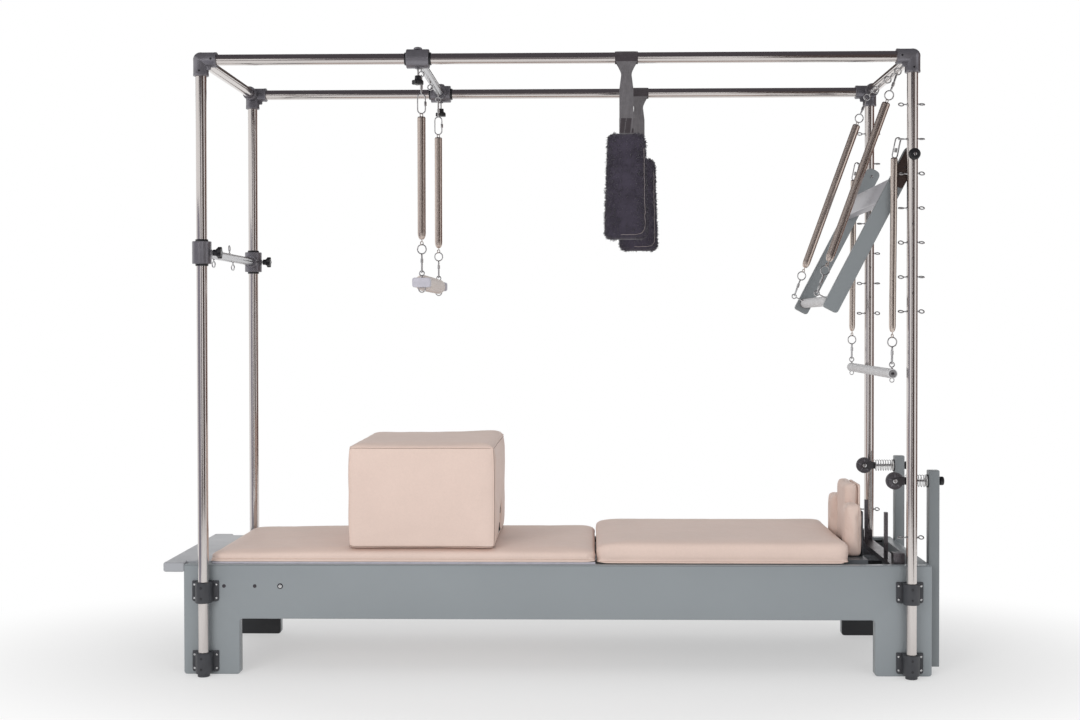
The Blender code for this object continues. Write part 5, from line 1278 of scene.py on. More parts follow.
def risers():
    for label, side in SIDES:
        low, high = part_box(f"riser_{label}")
        y = side * RISER_SPREAD
        piece = Piece(f"riser_{label}_form")
        depth, half = RISER_DEPTH, RISER_WIDTH / 2
        outline = rounded((y - half, low.z), (y + half, high.z), [0.002, 0.002, 0.006, 0.006], 4)
        piece.add(slab(outline, depth, facing_x(BED_HEAD + GAP), 0.003), PUSH_PAINT)
        for z in RISER_SCREWS:
            piece.add(screw((BED_HEAD + GAP + depth - 0.0004, y, z), X, *RISER_SCREW), DARK_STEEL)
        face = Vector((BED_HEAD, y, PULLEY_HEIGHT))
        disc = [
            (0, WASHER - 0.001), (0.001, WASHER), (WASHER_THICKNESS - 0.001, WASHER),
            (WASHER_THICKNESS, WASHER - 0.001), (WASHER_THICKNESS, 0.006),
        ]
        piece.add(lathe(disc, face, -X, 40), BUMPER)
        rim = [(0.0008, WASHER), (0.0008, WASHER + 0.0012), (0.0044, WASHER + 0.0012), (0.0044, WASHER)]
        piece.add(lathe(rim, face, -X, 40), RUBBER_AND_HOLE_SHADE)
        piece.made("frame", [f"riser_{label}"], "push_bar_wood")


def pulley(label, side):
    y = side * RISER_SPREAD
    centre = Vector((PULLEY_AT, y, PULLEY_HEIGHT))
    piece = Piece(f"pulley_fork_{label}_form")
    inner, neck = PULLEY_WIDTH / 2 + 0.0006, centre.x + NECK_REACH
    axle = [
        (0, 0.0078), (0.0012, 0.0078), (0.0018, 0.0070), (0.0018, 0.0042), (0.0006, 0.0036), (0.0006, 0),
    ]
    for way in (-1, 1):
        outline = [(centre.x + px, centre.z + pz) for px, pz in arc(0.0115, math.pi / 2, math.pi, 16)]
        outline += [(neck - 0.008, centre.z - 0.014), (neck, centre.z - 0.010)]
        outline += [(neck, centre.z + 0.010), (neck - 0.008, centre.z + 0.014)]
        piece.add(slab(outline, CHEEK, facing_y(y + way * inner, way), 0.0008), PULLEY_DARK)
        piece.add(lathe(axle, centre + Y * way * (inner + CHEEK - 0.0004), (0, way, 0), 24), WIRE_STEEL)
    low = (neck - 0.005, y - inner - CHEEK, centre.z - 0.013)
    high = (neck + 0.004, y + inner + CHEEK, centre.z + 0.013)
    piece.add(block(low, high, 0.0018), PULLEY_DARK)
    start = Vector((neck, y, centre.z))
    end = Vector((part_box(f"pulley_fork_{label}")[1].x - 0.019, y, centre.z))
    piece.add(rod(start, end, 0.0045, 24), WIRE_STEEL)
    knob = [
        (0, 0.0085), (0.003, 0.0085), (0.0045, 0.0145), (0.0065, 0.0155), (0.0145, 0.0155),
        (0.0175, 0.0140), (0.0190, 0.0100), (0.0190, 0.0052), (0.0176, 0.0048), (0.0176, 0),
    ]
    piece.add(lathe(knob, end, X, 40), KNOB_BLACK)
    piece.made(f"pulley_fork_{label}", [f"pulley_fork_{label}"], "black_fitting")
    wheel = Piece(f"pulley_wheel_{label}_form")
    half = PULLEY_WIDTH / 2
    groove = [
        (-half, 0.009), (-half, 0.0125), (-half + 0.0016, 0.0145), (-half + 0.0016, 0.0240),
        (-half, 0.0255), (-half, PULLEY - 0.0012), (-half + 0.0012, PULLEY), (-half + 0.0026, PULLEY),
        (-half + 0.0042, PULLEY - 0.0038), (-0.0022, PULLEY - 0.0075), (0, PULLEY - 0.0083),
    ]
    profile = groove + [(-along, radius) for along, radius in groove[-2::-1]]
    wheel.add(lathe(profile, centre, Y, 56), PULLEY_GREY)
    for spoke in range(5):
        turn = math.tau * (spoke / 5 + 0.05)
        out = X * math.cos(turn) + Z * math.sin(turn)
        across = Z * math.cos(turn) - X * math.sin(turn)
        for way in (-1, 1):
            face = centre + Y * way * (half - 0.0010)
            corners = [(0.0125, -0.0022), (0.0250, -0.0016), (0.0250, 0.0016), (0.0125, 0.0022)]
            points = [face + out * reach + across * wide for reach, wide in corners]
            points += [point + Y * way * 0.0009 for point in points]
            sides = [(i, (i + 1) % 4, (i + 1) % 4 + 4, i + 4) for i in range(4)]
            faces = [(3, 2, 1, 0), (4, 5, 6, 7), *sides]
            wheel.add(([tuple(point) for point in points], faces, [[(0, 0)] * 4] * 6), COLLAR_GREY)
    hub = [(-half - 0.0002, 0), (-half - 0.0002, 0.0085), (half + 0.0002, 0.0085), (half + 0.0002, 0)]
    wheel.add(lathe(hub, centre, Y, 24), WIRE_STEEL)
    wheel.made(f"pulley_wheel_{label}", [f"pulley_wheel_{label}"], "wheel_plastic")
    low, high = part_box(f"pulley_spring_{label}")
    first, last = Vector((low.x + 0.0014, y, centre.z)), Vector((high.x - 0.0014, y, centre.z))
    pitch = (high.x - low.x) / (PULLEY_COIL_TURNS + 0.5)
    radii = [(0, PULLEY_COIL), (1, PULLEY_COIL)]
    coil = Piece(f"pulley_spring_{label}_form")
    coil.add(helix(first, last, radii, PULLEY_COIL_WIRE, pitch, 40, 10), WIRE_STEEL)
    coil.made("frame", [f"pulley_spring_{label}"], "spring_steel")


def coordinates(mesh):
    flat = np.empty(len(mesh.vertices) * 3, np.float32)
    mesh.vertices.foreach_get("co", flat)
    return flat.reshape(-1, 3).astype(float)


def moved_to(mesh, points):
    mesh.vertices.foreach_set("co", points.astype(np.float32).ravel())


def welded(mesh):
    """Joins the points of a mesh that lie in one place."""
    form = bmesh.new()
    form.from_mesh(mesh)
    bmesh.ops.remove_doubles(form, verts=form.verts, dist=WELD)
    form.to_mesh(mesh)
    form.free()


def applied(obj):
    """Makes the modifiers' result the object's own mesh."""
    graph = bpy.context.evaluated_depsgraph_get()
    mesh = bpy.data.meshes.new_from_object(obj.evaluated_get(graph))
    obj.modifiers.clear()
    old = obj.data
    obj.data = mesh
    bpy.data.meshes.remove(old)


def shape_mesh(name, shape):
    points, faces, _ = shape
    if signed_volume(points, faces) < 0:
        faces = [face[::-1] for face in faces]
    mesh = bpy.data.meshes.new(name)
    mesh.from_pydata(np.asarray(points).tolist(), [], faces)
    return mesh


def solid_mesh(name, node, inset):
    """A copy of a soft solid, drawn in by an inset on every side."""
    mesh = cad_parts[node].data.copy()
    mesh.name = name
    mesh.materials.clear()
    welded(mesh)
    low, high = (np.array(corner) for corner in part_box(node))
    centre, size = (low + high) / 2, high - low
    moved_to(mesh, centre + (coordinates(mesh) - centre) * (1 - 2 * inset / size))
    return mesh


def blown(obj, pressure, slack):
    """Where the points of a skin lie after it is blown up as cloth."""
    cloth = obj.modifiers.new("Cloth", "CLOTH")
    settings = cloth.settings
    for label, value in CLOTH.items():
        setattr(settings, label, value)
    settings.use_pressure = True
    settings.uniform_pressure_force = pressure
    settings.shrink_min = -slack
    settings.effector_weights.gravity = 0
    cloth.point_cache.frame_start = 1
    cloth.point_cache.frame_end = CLOTH_FRAMES
    for step in range(1, CLOTH_FRAMES + 1):
        bpy.context.scene.frame_set(step)
    graph = bpy.context.evaluated_depsgraph_get()
    made = obj.evaluated_get(graph)
    points = coordinates(made.to_mesh())
    made.to_mesh_clear()
    obj.modifiers.remove(cloth)
    bpy.context.scene.frame_set(1)
    return points


def wrinkled(points, centre, height, size, seed):
    """Points moved out and in a little by a slow noise, as slack covers lie."""
    moved = points.copy()
    for i, point in enumerate(points):
        place = Vector(point) / size + Vector((seed, 0, 0))
        value = noise.noise(place) + 0.4 * noise.noise(place * 2.3)
        away = point - centre
        moved[i] += away / max(np.linalg.norm(away), 1e-6) * value * height
    return moved


def squared(points, low, high, depth):
    """Draws the lower rim of a pad out to its full outline, as a cover pulled tight round a board lies."""
    moved = points.copy()
    share = np.clip(1 - (points[:, 2] - low[2]) / depth, 0, 1) ** 0.6
    for axis in (0, 1):
        centre, half = (low[axis] + high[axis]) / 2, (high[axis] - low[axis]) / 2
        off = points[:, axis] - centre
        near = np.abs(off) > half - depth * 1.6
        target = np.sign(off) * (half - 0.0006)
        moved[:, axis] += np.where(near, (centre + target - points[:, axis]) * share, 0)
    return moved


def padded_piece(
    name, mesh, space, body, finish, voxel, cap,
    pressure=4.0, slack=0.012, crease=0.0006, shape=None, rim_depth=0.0,
):
    """A padded form: remeshed, blown up as cloth, and fitted back into its space with a flat underside."""
    low, high = (np.array(corner, float) for corner in space)
    obj = linked(name, mesh)
    remesh = obj.modifiers.new("Remesh", "REMESH")
    remesh.mode = "VOXEL"
    remesh.voxel_size = voxel
    remesh.use_smooth_shade = True
    applied(obj)
    rest = coordinates(obj.data)
    moved = blown(obj, pressure, slack)
    change = moved - rest
    reach = np.linalg.norm(change, axis=1, keepdims=True)
    moved = rest + change * np.minimum(1, cap / np.maximum(reach, 1e-9))
    moved[:, 2] = np.maximum(moved[:, 2], rest[:, 2].min())
    moved = wrinkled(moved, (low + high) / 2, crease, 0.075, len(name))
    first, last = moved.min(0), moved.max(0)
    moved = low + (moved - first) / (last - first) * (high - low)
    if shape:
        moved = shape(moved, low, high)
    moved_to(obj.data, moved)
    soft = obj.modifiers.new("Smooth", "SMOOTH")
    soft.factor = 0.5
    soft.iterations = 3
    fine = obj.modifiers.new("Subdivision", "SUBSURF")
    fine.levels = fine.render_levels = 1
    applied(obj)
    if rim_depth:
        moved_to(obj.data, squared(coordinates(obj.data), low, high, rim_depth))
    obj.data.materials.clear()
    obj.data.materials.append(finish)
    obj.data.shade_smooth()
    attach(obj, body)
    return obj


def seam(piece, tree, points, radius, finish, lift=0.0):
    """A thin tube that follows the nearest points of a skin: a sewn edge or hem, and with SHADOW_SEAM a line
    of painted shadow.
    """
    path = []
    for point in points:
        place, normal, _, _ = tree.find_nearest(Vector(point))
        path.append(place + normal * lift)
    piece.add(tube(path, radius, 8), finish)


def tree_of(obj):
    mesh = obj.data
    faces = [tuple(face.vertices) for face in mesh.polygons]
    return BVHTree.FromPolygons([vertex.co.copy() for vertex in mesh.vertices], faces)


def rim(low, high, z, corner, step=0.012):
    """A rounded rectangle round a box at one height, as points in a row that ends where it starts."""
    outline = rounded(low, high, corner, 6)
    outline.append(outline[0])
    points = []
    for first, last in zip(outline[:-1], outline[1:]):
        count = max(1, int(np.linalg.norm(last - first) / step))
        for i in range(count):
            x, y = first + (last - first) * i / count
            points.append((x, y, z))
    points.append((*outline[0], z))
    return points


def filled_out(lift, power, drop, run):
    """A way to round a pad's shoulders out, lift its crown a little and let it sink towards its foot end."""
    def shape(points, low, high):
        moved = points.copy()
        share = np.clip((points[:, 2] - low[2]) / (high[2] - low[2]), 0, 1)
        moved[:, 2] = low[2] + (1 - (1 - share) ** power) * (high[2] - low[2] + lift)
        moved[:, 2] -= drop * share * np.clip(1 - (points[:, 0] - low[0]) / run, 0, 1) ** 2.2
        return moved
    return shape


def mats():
    for node, mat in MATS.items():
        mesh = solid_mesh(f"{node}_skin", node, SKIN_INSET)
        low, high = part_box(node)
        low, high = low + Vector(mat["low"]), high + Vector(mat["high"])
        obj = padded_piece(
            f"{node}_cover", mesh, (low, high), mat["body"], VINYL, 0.009, 0.006,
            crease=mat["crease"], shape=filled_out(**mat["crown"]), rim_depth=0.012,
        )
        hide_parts(node)
        tree = tree_of(obj)
        piece = Piece(f"{node}_seam")
        points = rim((low.x, low.y), (high.x, high.y), low.z + 0.010, 0.03)
        seam(piece, tree, points, 0.0011, SEAM)
        piece.made(mat["body"], slot="upholstery")


def box_top(points, low, high):
    """The lid swells towards the back, most of all at the head end."""
    moved = points.copy()
    share = np.clip((points - low) / (high - low), 0, 1)
    swell = share[:, 1] ** 0.8 * (0.35 + 0.65 * share[:, 0])
    moved[:, 2] += 0.014 * swell * np.clip((share[:, 2] - 0.55) / 0.45, 0, 1) ** 1.5
    return moved


def sitting_box():
    mesh = solid_mesh("box_skin", "box", SKIN_INSET)
    low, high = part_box("box")
    low, high = low - Vector((0.002, 0.004, 0.002)), high + Vector((0.010, 0.008, 0.002))
    obj = padded_piece(
        "box_cover", mesh, (low, high), "box", VINYL, 0.009, 0.0022,
        crease=0.0012, shape=box_top, rim_depth=0.008,
    )
    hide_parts("box")
    # Painted shade: the cover is not opened. Its faces where the hand hole lies take the dark finish, for
    # the shade inside the hole.
    obj.data.materials.append(RUBBER_AND_HOLE_SHADE)
    for face in obj.data.polygons:
        place = (high.x - face.center.x, face.center.y, face.center.z)
        if all(least < value < most for least, value, most in zip(BOX_HOLE_SHADE[0], place, BOX_HOLE_SHADE[1])):
            face.material_index = 1
    tree = tree_of(obj)
    piece = Piece("box_seams")
    corners = ((low.x + SKIN_INSET, low.y + SKIN_INSET), (high.x - SKIN_INSET, high.y - SKIN_INSET))
    points = rim(*corners, high.z - 0.007, 0.012)
    seam(piece, tree, points, 0.0024, VINYL, 0.0004)
    # Painted shadow under the top welt.
    seam(piece, tree, [(x, y, z - 0.006) for x, y, z in points], 0.0008, SHADOW_SEAM)
    levels = np.linspace(low.z + 0.008, high.z - 0.010, 30)
    for x, across in ((low.x, -1), (high.x, 1)):
        for y in (low.y, high.y):
            inward = 1 if y == low.y else -1
            seam(piece, tree, [(x - across * 0.003, y + inward * 0.003, z) for z in levels], 0.0022, VINYL)
            # Painted shadow beside each upright corner seam, further from the corner towards the bottom.
            fold = [(x, y + inward * (0.0095 + 0.004 * (high.z - z)), z) for z in levels]
            seam(piece, tree, fold, 0.0009, SHADOW_SEAM)
    # Painted shadow round the bottom edge.
    seam(piece, tree, rim(*corners, low.z + 0.004, 0.012), 0.0012, SHADOW_SEAM)
    piece.made("box", slot="upholstery")


def standing_pad(name, node, back, bottom, skin_bottom, corner, edge, voxel):
    """A pad on its edge with a board behind it: its cover, in the space from bottom to the solid's top."""
    low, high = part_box(node)
    side, top = high.y - SKIN_INSET, high.z - SKIN_INSET
    outline = rounded((low.y + SKIN_INSET, skin_bottom), (side, top), corner, 5)
    skin = slab(outline, back - low.x - 2 * SKIN_INSET, facing_x(back - SKIN_INSET, -1), edge, 5)
    space = ((low.x, low.y, bottom), (back, high.y, high.z))
    obj = padded_piece(name, shape_mesh(f"{name}_skin", skin), space, node, VINYL, voxel, PAD_CAP)
    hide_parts(node)
    return obj


def shoulder_rests():
    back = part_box("shoulder_rest_near")[1].x - 0.005
    for label, _ in SIDES:
        node = f"shoulder_rest_{label}"
        low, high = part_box(node)
        skin_bottom = REST_BOTTOM + 0.0002 + SKIN_INSET
        obj = standing_pad(f"rest_pad_{label}", node, back, REST_BOTTOM, skin_bottom, 0.022, 0.014, 0.004)
        middle_y = (low.y + high.y) / 2
        piece = Piece(f"rest_plate_{label}")
        outline = rounded(*((middle_y + y, z) for y, z in REST_PLATE), 0.006, 4)
        piece.add(slab(outline, 0.005, facing_x(back), 0.001), BLACK)
        for dz in (0.030, 0.130):
            spot = (back + 0.0046, middle_y, REST_PLATE[0][1] + dz)
            piece.add(screw(spot, X, *REST_SCREW), DARK_STEEL)
        for dy in (-0.020, 0.020):
            start = Vector((back - 0.031, middle_y + dy, low.z + 0.0003))
            piece.add(rod(start, start + Z * 0.030, 0.005, 20), WIRE_STEEL)
        tree = tree_of(obj)
        front = rim((low.y + 0.006, REST_BOTTOM + 0.0062), (high.y - 0.006, high.z - 0.006), 0, 0.02, 0.006)
        seam(piece, tree, [(low.x + 0.046, y, z) for y, z, _ in front], 0.0010, SEAM)
        piece.made(node, slot="upholstery")


def headrest():
    low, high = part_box("headrest")
    board = high.x - HEADREST_BOARD
    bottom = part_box("carriage_mat")[0].z + HEADREST_RISE
    obj = standing_pad("headrest_pad", "headrest", board, bottom, bottom + SKIN_INSET, 0.024, 0.012, 0.005)
    piece = Piece("headrest_board")
    outline = rounded((low.y + 0.005, bottom), (high.y - 0.005, high.z - 0.005), 0.012, 4)
    piece.add(slab(outline, HEADREST_BOARD, facing_x(board), 0.0015), VINYL)
    axis = Vector((high.x - 0.010, 0, low.z + 0.008))
    piece.add(block((board, -HINGE_REACH, axis.z), (high.x, HINGE_REACH, bottom + 0.006), 0.001), KNOB_BLACK)
    knuckle = [(0, 0.0042), (0, 0.0072), (0.0008, 0.008)]
    knuckle += [(HINGE_REACH * 2 - along, radius) for along, radius in knuckle[::-1]]
    piece.add(lathe(knuckle, axis - Y * HINGE_REACH, Y, 28), DARK_STEEL)
    for y in (-0.06, 0.06):
        for z in (bottom + 0.03, high.z - 0.04):
            piece.add(screw((high.x - 0.0004, y, z), X, *HINGE_SCREW), DARK_STEEL)
    tree = tree_of(obj)
    front = rim((low.y + 0.006, bottom + 0.006), (high.y - 0.006, high.z - 0.006), 0, 0.024, 0.006)
    seam(piece, tree, [(board - 0.010, y, z) for y, z, _ in front], 0.0010, SEAM)
    piece.made("headrest", slot="upholstery")


def trapeze_roll():
    low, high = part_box("trapeze_pad")
    radius, reach = (high.z - low.z) / 2, high.y
    edge = 0.009
    profile = [(0, 0)]
    profile += [(edge - along, radius - 0.0015 - edge + out) for along, out in arc(edge, 0, math.pi / 2, 6)]
    profile += [(reach * 2 - along, size) for along, size in profile[::-1]]
    at = Vector(((low.x + high.x) / 2, 0, (low.z + high.z) / 2))
    mesh = shape_mesh("roll_skin", lathe(profile, at - Y * reach, Y, 40))
    welded(mesh)
    obj = padded_piece(
        "roll_cover", mesh, (low, high), "trapeze", ROLL_VINYL, 0.004, 0.0015,
        pressure=3.0, crease=0.0003,
    )
    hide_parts("trapeze_pad")
    tree = tree_of(obj)
    piece = Piece("roll_seam")
    points = [(at.x + 0.012, y, low.z) for y in np.linspace(-reach + 0.012, reach - 0.012, 40)]
    seam(piece, tree, points, 0.0009, SEAM)
    cuff = [(0, 0.0092), (0, 0.017), (0.0008, 0.0165), (0.0008, 0.0092)]
    for _, side in SIDES:
        piece.add(lathe(cuff, at + Y * side * (reach - 0.0004), Y * side, 32), DARK_STRAP)
    piece.made("trapeze", slot="upholstery")


def fleece_points(x, y):
    """The skin of a hanging fleece pad, lumpy all over, and the outward way at each point."""
    half, depth = FLEECE_WIDTH / 2, FLEECE_THICKNESS / 2
    rows, columns = 96, 96
    points, ways = [], []
    for i in range(rows + 1):
        share = i / rows
        z = FLEECE_BOTTOM + (FLEECE_TOP - FLEECE_BOTTOM) * share
        close = min(share, 1 - share) * (FLEECE_TOP - FLEECE_BOTTOM) / 0.030
        full = math.sqrt(max(1 - max(1 - close, 0) ** 2, 0)) if close < 1 else 1.0
        width = half * (0.93 + 0.07 * math.cos(math.pi * share)) - 0.022 * (1 - full)
        thick = depth * (0.86 - 0.22 * share) * (0.12 + 0.88 * full)
        for j in range(columns):
            turn = math.tau * j / columns
            c, s = math.cos(turn), math.sin(turn)
            px = math.copysign(abs(c) ** 0.55, c) * width
            py = math.copysign(abs(s) ** 0.75, s) * thick
            place = Vector((px, py, z)) * 34 + Vector((x * 50, 0, 0))
            lump = 0.0022 * noise.noise(place) + 0.0012 * noise.noise(place * 3.1)
            way = Vector((px / (width * width + 1e-6), py / (thick * thick + 1e-6), 0)).normalized()
            points.append(Vector((x + px, y + py, z)) + way * lump)
            ways.append(way)
    faces = grid(rows + 1, columns) + ends(rows + 1, columns)
    return (points, faces, [[(0, 0)] * len(face) for face in faces]), ways


def tufts(points, ways, rng, count):
    """Short curled locks of wool that stand out of the fleece."""
    points, ways = np.array([tuple(p) for p in points]), np.array([tuple(w) for w in ways])
    chosen = rng.integers(0, len(points), count)
    roots = points[chosen] + rng.normal(0, 0.0016, (count, 3))
    way = unit(ways[chosen] + rng.normal(0, 0.55, (count, 3)) + np.array([0, 0, -0.25]))
    side = unit(np.cross(way, rng.normal(0, 1, (count, 3))))
    other = np.cross(way, side)
    length = rng.uniform(0.0035, 0.0085, (count, 1))
    girth = rng.uniform(0.0007, 0.0014, (count, 1))
    bend = unit(rng.normal(0, 1, (count, 3)))
    levels = ((0.0, 1.0), (0.45, 0.95), (0.8, 0.6), (1.0, 0.12))
    rows = []
    for along, size in levels:
        centre = roots + way * length * (along - 0.15) + bend * length * along ** 2 * 0.45
        for turn in (0, math.tau / 3, 2 * math.tau / 3):
            rows.append(centre + (side * math.cos(turn) + other * math.sin(turn)) * girth * size)
    lock = grid(len(levels), 3) + ends(len(levels), 3)[::-1]
    starts = range(0, len(rows) * count, len(rows))
    faces = [tuple(start + i for i in face) for start in starts for face in lock]
    return np.stack(rows, 1).reshape(-1, 3), faces, [[(0, 0)] * len(face) for face in faces]


def strap_sweep(path, widths, thickness, across, waves=0.0):
    """A flat strap along a path, with a width for each point and its own measure along it as UVs."""
    path = np.array([tuple(point) for point in path], float)
    ahead = unit(np.gradient(path, axis=0))
    across = np.broadcast_to(np.asarray(across, float), path.shape)
    across = unit(across - ahead * np.sum(across * ahead, 1)[:, None])
    up = np.cross(ahead, across)
    columns = 13
    along = measured(path)
    points = []
    for face in (1, -1):
        for i in range(len(path)):
            for j in range(columns):
                share = j / (columns - 1) * 2 - 1
                fold = waves * math.sin(share * 7 + along[i] * 40) * (1 - widths[i] / max(widths))
                thick = thickness / 2 * (1 - 0.5 * abs(share) ** 6)
                points.append(path[i] + across[i] * widths[i] / 2 * share + up[i] * (face * thick + fold))
    half = len(path) * columns
    faces = grid(len(path), columns, wrapped=False)
    faces += [tuple(half + i for i in face)[::-1] for face in faces]
    uvs = unrolled(along, columns - 1, max(widths) / (columns - 1))
    uvs += [face[::-1] for face in uvs]
    border = list(range(columns)) + [i * columns + columns - 1 for i in range(1, len(path))]
    border += [(len(path) - 1) * columns + j for j in range(columns - 2, -1, -1)]
    border += [i * columns for i in range(len(path) - 2, 0, -1)]
    for a, b in zip(border, border[1:] + border[:1]):
        faces.append((b, a, a + half, b + half))
        uvs.append([(0, 0), (0.003, 0), (0.003, 0.003), (0, 0.003)])
    return points, faces, uvs


def fleece_loop(label, side):
    x, y = LOOP_AT[label], side * POST_SIDE
    rng = np.random.default_rng(11 if side < 0 else 12)
    body = f"loop_{label}"
    pad = Piece(f"fleece_{label}")
    skin, ways = fleece_points(x, y)
    pad.add(skin, FLEECE)
    pad.add(tufts(skin[0], ways, rng, TUFTS), FLEECE)
    obj = pad.made(body, [f"loop_{label}"], "fleece")
    strap = Piece(f"strap_{label}")
    radius = TUBE + 0.0022
    turns = np.linspace(-0.62 * math.pi, 1.62 * math.pi, 40)
    wrap = [(x, y + radius * math.sin(turn), TOP_AXIS + radius * math.cos(turn)) for turn in turns]
    strap.add(strap_sweep(wrap, [LOOP_WRAP] * len(wrap), 0.0026, X), DARK_STRAP)
    top, bottom = TOP_AXIS - TUBE * 0.75, FLEECE_TOP - 0.020
    for sense in (1, -1):
        widths, path = [], []
        for z in np.linspace(top, bottom, 36):
            open_part = np.clip((z - GATHER_BOTTOM) / (top - GATHER_BOTTOM), 0, 1)
            below = np.clip((GATHER_BOTTOM - z) / 0.05, 0, 1)
            fanned = (LOOP_WRAP * 0.94 - STRAP_GATHERED) * open_part ** 1.3
            widths.append(STRAP_GATHERED + fanned + 0.013 * below)
            spread = STRAP_APART + (radius * 0.75 - STRAP_APART) * open_part ** 1.5
            path.append((x, y + sense * spread, z))
        strap.add(strap_sweep(path, widths, STRAP_THICKNESS, X, 0.004), STRAP)
    cuff = [(x, y, z) for z in np.linspace(CUFF_TOP, CUFF_BOTTOM, 8)]
    strap.add(strap_sweep(cuff, [CUFF_WIDTH] * len(cuff), CUFF_THICKNESS, X), DARK_STRAP)
    strap.made(body, slot="fleece")
    hem = Piece(f"hem_{label}")
    tree = BVHTree.FromPolygons(skin[0], [face for face in skin[1] if len(face) == 4])
    half, front = FLEECE_WIDTH / 2, y - 0.030
    route = [(x + half * 0.90, front, z) for z in np.linspace(HEM_TOP, HEM_BEND, 30)]
    bend = arc(1, 0, math.pi / 2, 8)
    route += [(x + half * (0.55 + 0.35 * px), front, HEM_BEND - 0.040 * pz) for px, pz in bend]
    route += [(x + half * share, front, HEM_BOTTOM) for share in np.linspace(0.45, -0.25, 12)]
    seam(hem, tree, route, 0.0010, HEM, 0.0034)
    hem.made(body, slot="fleece")


def carriage_coils():
    """Unhooked springs below the carriage's board, on the rod that carries them."""
    low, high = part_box("carriage_springs")
    piece = Piece("carriage_coils")
    z = high.z - 0.013
    rod_x = high.x - 0.005
    piece.add(rod((rod_x, low.y, z), (rod_x, high.y, z), 0.005, 20), WIRE_STEEL)
    for y in CARRIAGE_SPRINGS:
        start, end = Vector((low.x + 0.004, y, z)), Vector((rod_x - 0.002, y, z))
        radii = [(0, 0.006), (0.03, 0.0114), (0.96, 0.0114), (1, 0.006)]
        piece.add(helix(start, end, radii, COIL_WIRE, COIL_WIRE * 2.1, 12, 6), SPRING_WIRE)
    piece.made("carriage", ["carriage_springs"], "spring_steel")


def dressed(node, finish, edge, angle=30):
    """A solid that keeps its own shape, with its sharp edges broken."""
    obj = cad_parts[node]
    obj.data.materials.clear()
    obj.data.materials.append(finish)
    if edge:
        weld = obj.modifiers.new("Weld", "WELD")
        weld.merge_threshold = WELD
        bevel = obj.modifiers.new("Bevel", "BEVEL")
        bevel.width = edge
        bevel.segments = 2
        bevel.limit_method = "ANGLE"
        bevel.angle_limit = math.radians(angle)
        bevel.harden_normals = True


def kept_solids():
    for label, _ in SIDES:
        dressed(f"track_{label}", TRACK_METAL, 0.0006)
        for end in ("foot", "head"):
            dressed(f"wheel_{end}_{label}", WHEEL_BLACK, 0.0008, 50)
    dressed("spring_bar", DARK_STEEL, 0.0010)
    dressed("peg_rail", PEG_METAL, 0.0012)
    dressed("carriage_base", BASE_PAINT, 0.0010)


def direct(tree):
    """1 for what the camera, mirrors and glass see, and 0 for what only lights something."""
    rays = tree.nodes.new("ShaderNodeLightPath").outputs
    seen = rays["Is Camera Ray"]
    for other in ("Is Glossy Ray", "Is Transmission Ray"):
        most = tree.nodes.new("ShaderNodeMath")
        most.operation = "MAXIMUM"
        tree.links.new(seen, most.inputs[0])
        tree.links.new(rays[other], most.inputs[1])
        seen = most.outputs[0]
    return seen


def surround():
    """White to look at, and dimmer as a light."""
    world = bpy.data.worlds.new("surround")
    bpy.context.scene.world = world
    world.use_nodes = True
    tree = world.node_tree
    shade = tree.nodes["Background"]
    shade.inputs["Color"].default_value = WHITE
    strength = tree.nodes.new("ShaderNodeMapRange")
    strength.inputs["To Min"].default_value = SURROUND
    strength.inputs["To Max"].default_value = 1.0
    tree.links.new(direct(tree), strength.inputs["Value"])
    tree.links.new(strength.outputs[0], shade.inputs["Strength"])


def panel(name, corners):
    """A flat four-cornered object of the studio."""
    mesh = bpy.data.meshes.new(name)
    mesh.from_pydata(corners, [], [(0, 1, 2, 3)])
    return linked(name, mesh)


def floor():
    """A pale floor that fades to plain white away from the object."""
    ground = panel("floor", level((-FLOOR_REACH, -FLOOR_REACH), (FLOOR_REACH, FLOOR_REACH), FLOOR_HEIGHT))
    made = Finish("pale_floor", (0.86, 0.86, 0.86, 1), 0.9)
    made.varied(0.01, 0.8)
    spread = made.node("VectorMath", {0: made.place, 1: (0.36, 0.62, 0.0)}, operation="MULTIPLY").outputs[0]
    away = made.node("VectorMath", {0: spread}, operation="LENGTH").outputs["Value"]
    inputs = {0: away, 1: 0.50, 2: 1.0, 3: FLOOR_PALE}
    fade = made.node("MapRange", inputs, interpolation_type="SMOOTHSTEP").outputs[0]
    white = made.node("Emission", {"Color": WHITE, "Strength": 1.0}).outputs[0]
    share = made.maths("MULTIPLY", fade, direct(made.tree))
    mix = made.node("MixShader", {0: share, 1: made.surface.outputs[0], 2: white})
    made.tree.links.new(mix.outputs[0], made.tree.nodes["Material Output"].inputs["Surface"])
    ground.data.materials.append(made.material)


def lamps():
    for name, place, aim, size, power, colour in LAMPS:
        data = bpy.data.lights.new(name, "AREA")
        data.shape = "RECTANGLE"
        data.size, data.size_y = size
        data.energy = power
        data.color = colour
        lamp = linked(name, data)
        lamp.location = place
        lamp.rotation_euler = (Vector(aim) - Vector(place)).to_track_quat("-Z", "Y").to_euler()
        lamp.visible_glossy = False


def flags():
    """Dark panels that only the tubes and wires mirror."""
    for name, corners, colour in FLAGS:
        flag = panel(name, corners)
        cloth = Finish(name + "_cloth", (0, 0, 0, 1), 1.0)
        cloth.surface.inputs["Specular IOR Level"].default_value = 0.0
        drift = cloth.ramp(cloth.noise(0.8), 0.3, 0.7, 0.85, 1.15)
        glow = cloth.node("Emission", {"Color": colour, "Strength": drift}).outputs[0]
        cloth.tree.links.new(glow, cloth.tree.nodes["Material Output"].inputs["Surface"])
        flag.data.materials.append(cloth.material)
        flag.visible_camera = False
        flag.visible_diffuse = False
        flag.visible_shadow = False
        flag.visible_transmission = False


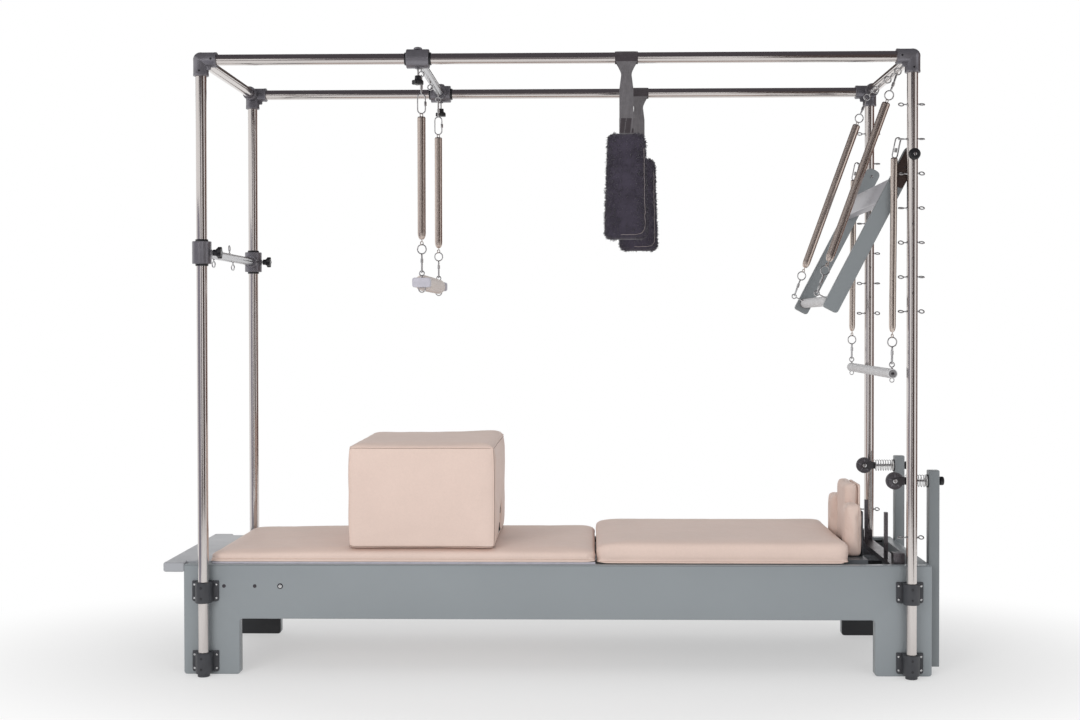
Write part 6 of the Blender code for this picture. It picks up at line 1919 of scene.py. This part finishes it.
def upright(first, last, bottom, top):
    """The corners of an upright panel over a line on the floor."""
    return [(*first, bottom), (*last, bottom), (*last, top), (*first, top)]


def level(low, high, height):
    """The corners of a level panel."""
    return [(*corner, height) for corner in rectangle(low, high)]


def camera():
    data = bpy.data.cameras.new("camera")
    data.lens = CAMERA_LENS
    data.sensor_width = 36
    data.shift_x, data.shift_y = CAMERA_SHIFT
    data.dof.use_dof = False
    eye = linked("camera", data)
    turn = Matrix.Rotation(math.radians(CAMERA_HEADING), 4, "Z")
    turn = turn @ Matrix.Rotation(math.radians(CAMERA_PITCH), 4, "X")
    turn = turn @ Matrix.Rotation(math.radians(CAMERA_ROLL), 4, "Y")
    eye.matrix_world = Matrix.Translation(CAMERA_AT) @ turn @ Matrix.Rotation(math.radians(90), 4, "X")
    bpy.context.scene.camera = eye


WHITE = (1, 1, 1, 1)
SURROUND = 0.665
FLOOR_REACH = 30.0
FLOOR_HEIGHT = -0.0006
FLOOR_PALE = 0.45  # share of plain white in the floor beside the object
LAMPS = (
    ("key", (-2.6, -5.2, 2.4), (0, 0, 0.9), (2.6, 2.2), 104.0, (1.0, 0.985, 0.965)),
    ("fill", (2.8, -5.0, 1.6), (0, 0, 0.8), (2.2, 2.2), 36.0, (0.97, 0.985, 1.0)),
)
FLAGS = (
    ("flag_left", upright((-2.2, -2.6), (-2.7, -0.5), -0.5, 1.8), srgb(150, 148, 160)),
    ("flag_centre", upright((1.3, -4.9), (2.5, -1.9), -0.5, 4.0), srgb(92, 82, 80)),
    ("flag_right", upright((4.2, -0.7), (4.6, 5.5), -0.5, 4.0), srgb(112, 88, 82)),
    ("flag_high", upright((-7.0, -9.0), (7.0, -9.0), 3.4, 8.0), srgb(86, 82, 86)),
    ("flag_over", level((-7.0, -6.5), (7.0, 5.5), 5.6), srgb(88, 85, 90)),
    ("flag_behind", upright((-2.6, -8.9), (0.5, -8.9), -0.1, 3.4), srgb(128, 124, 128)),
    ("flag_back", upright((-7.0, 5.6), (7.0, 5.6), 3.1, 5.6), srgb(84, 76, 74)),
    ("flag_low", level((-2.9, -8.8), (0.9, -4.3), 0.02), srgb(124, 118, 120)),
)

TRACK_METAL = plated("track_metal", srgb(170, 172, 176), 0.36)
PEG_METAL = plated("peg_metal", srgb(120, 116, 120), 0.34)
BASE_PAINT = painted("base_paint", srgb(96, 100, 104))

camera()
surround()
floor()
lamps()
flags()
kept_solids()
for side_label, side_sign in SIDES:
    side_panel(side_label, side_sign)
    post("foot", side_label, side_sign)
    post("head", side_label, side_sign)
    corner_fitting("foot", side_label, side_sign)
    corner_fitting("head", side_label, side_sign)
    pulley(side_label, side_sign)
boards()
standing_platform()
top_rails()
top_tubes()
sliding_bars()
trapeze_springs()
push_springs()
roll_springs()
trapeze_handle()
trapeze_roll()
push_bar()
push_grip()
roll_bar()
risers()
for side_label, side_sign in SIDES:
    fleece_loop(side_label, side_sign)
carriage_coils()
mats()
sitting_box()
shoulder_rests()
headrest()

bpy.context.scene.view_settings.view_transform = "Standard"
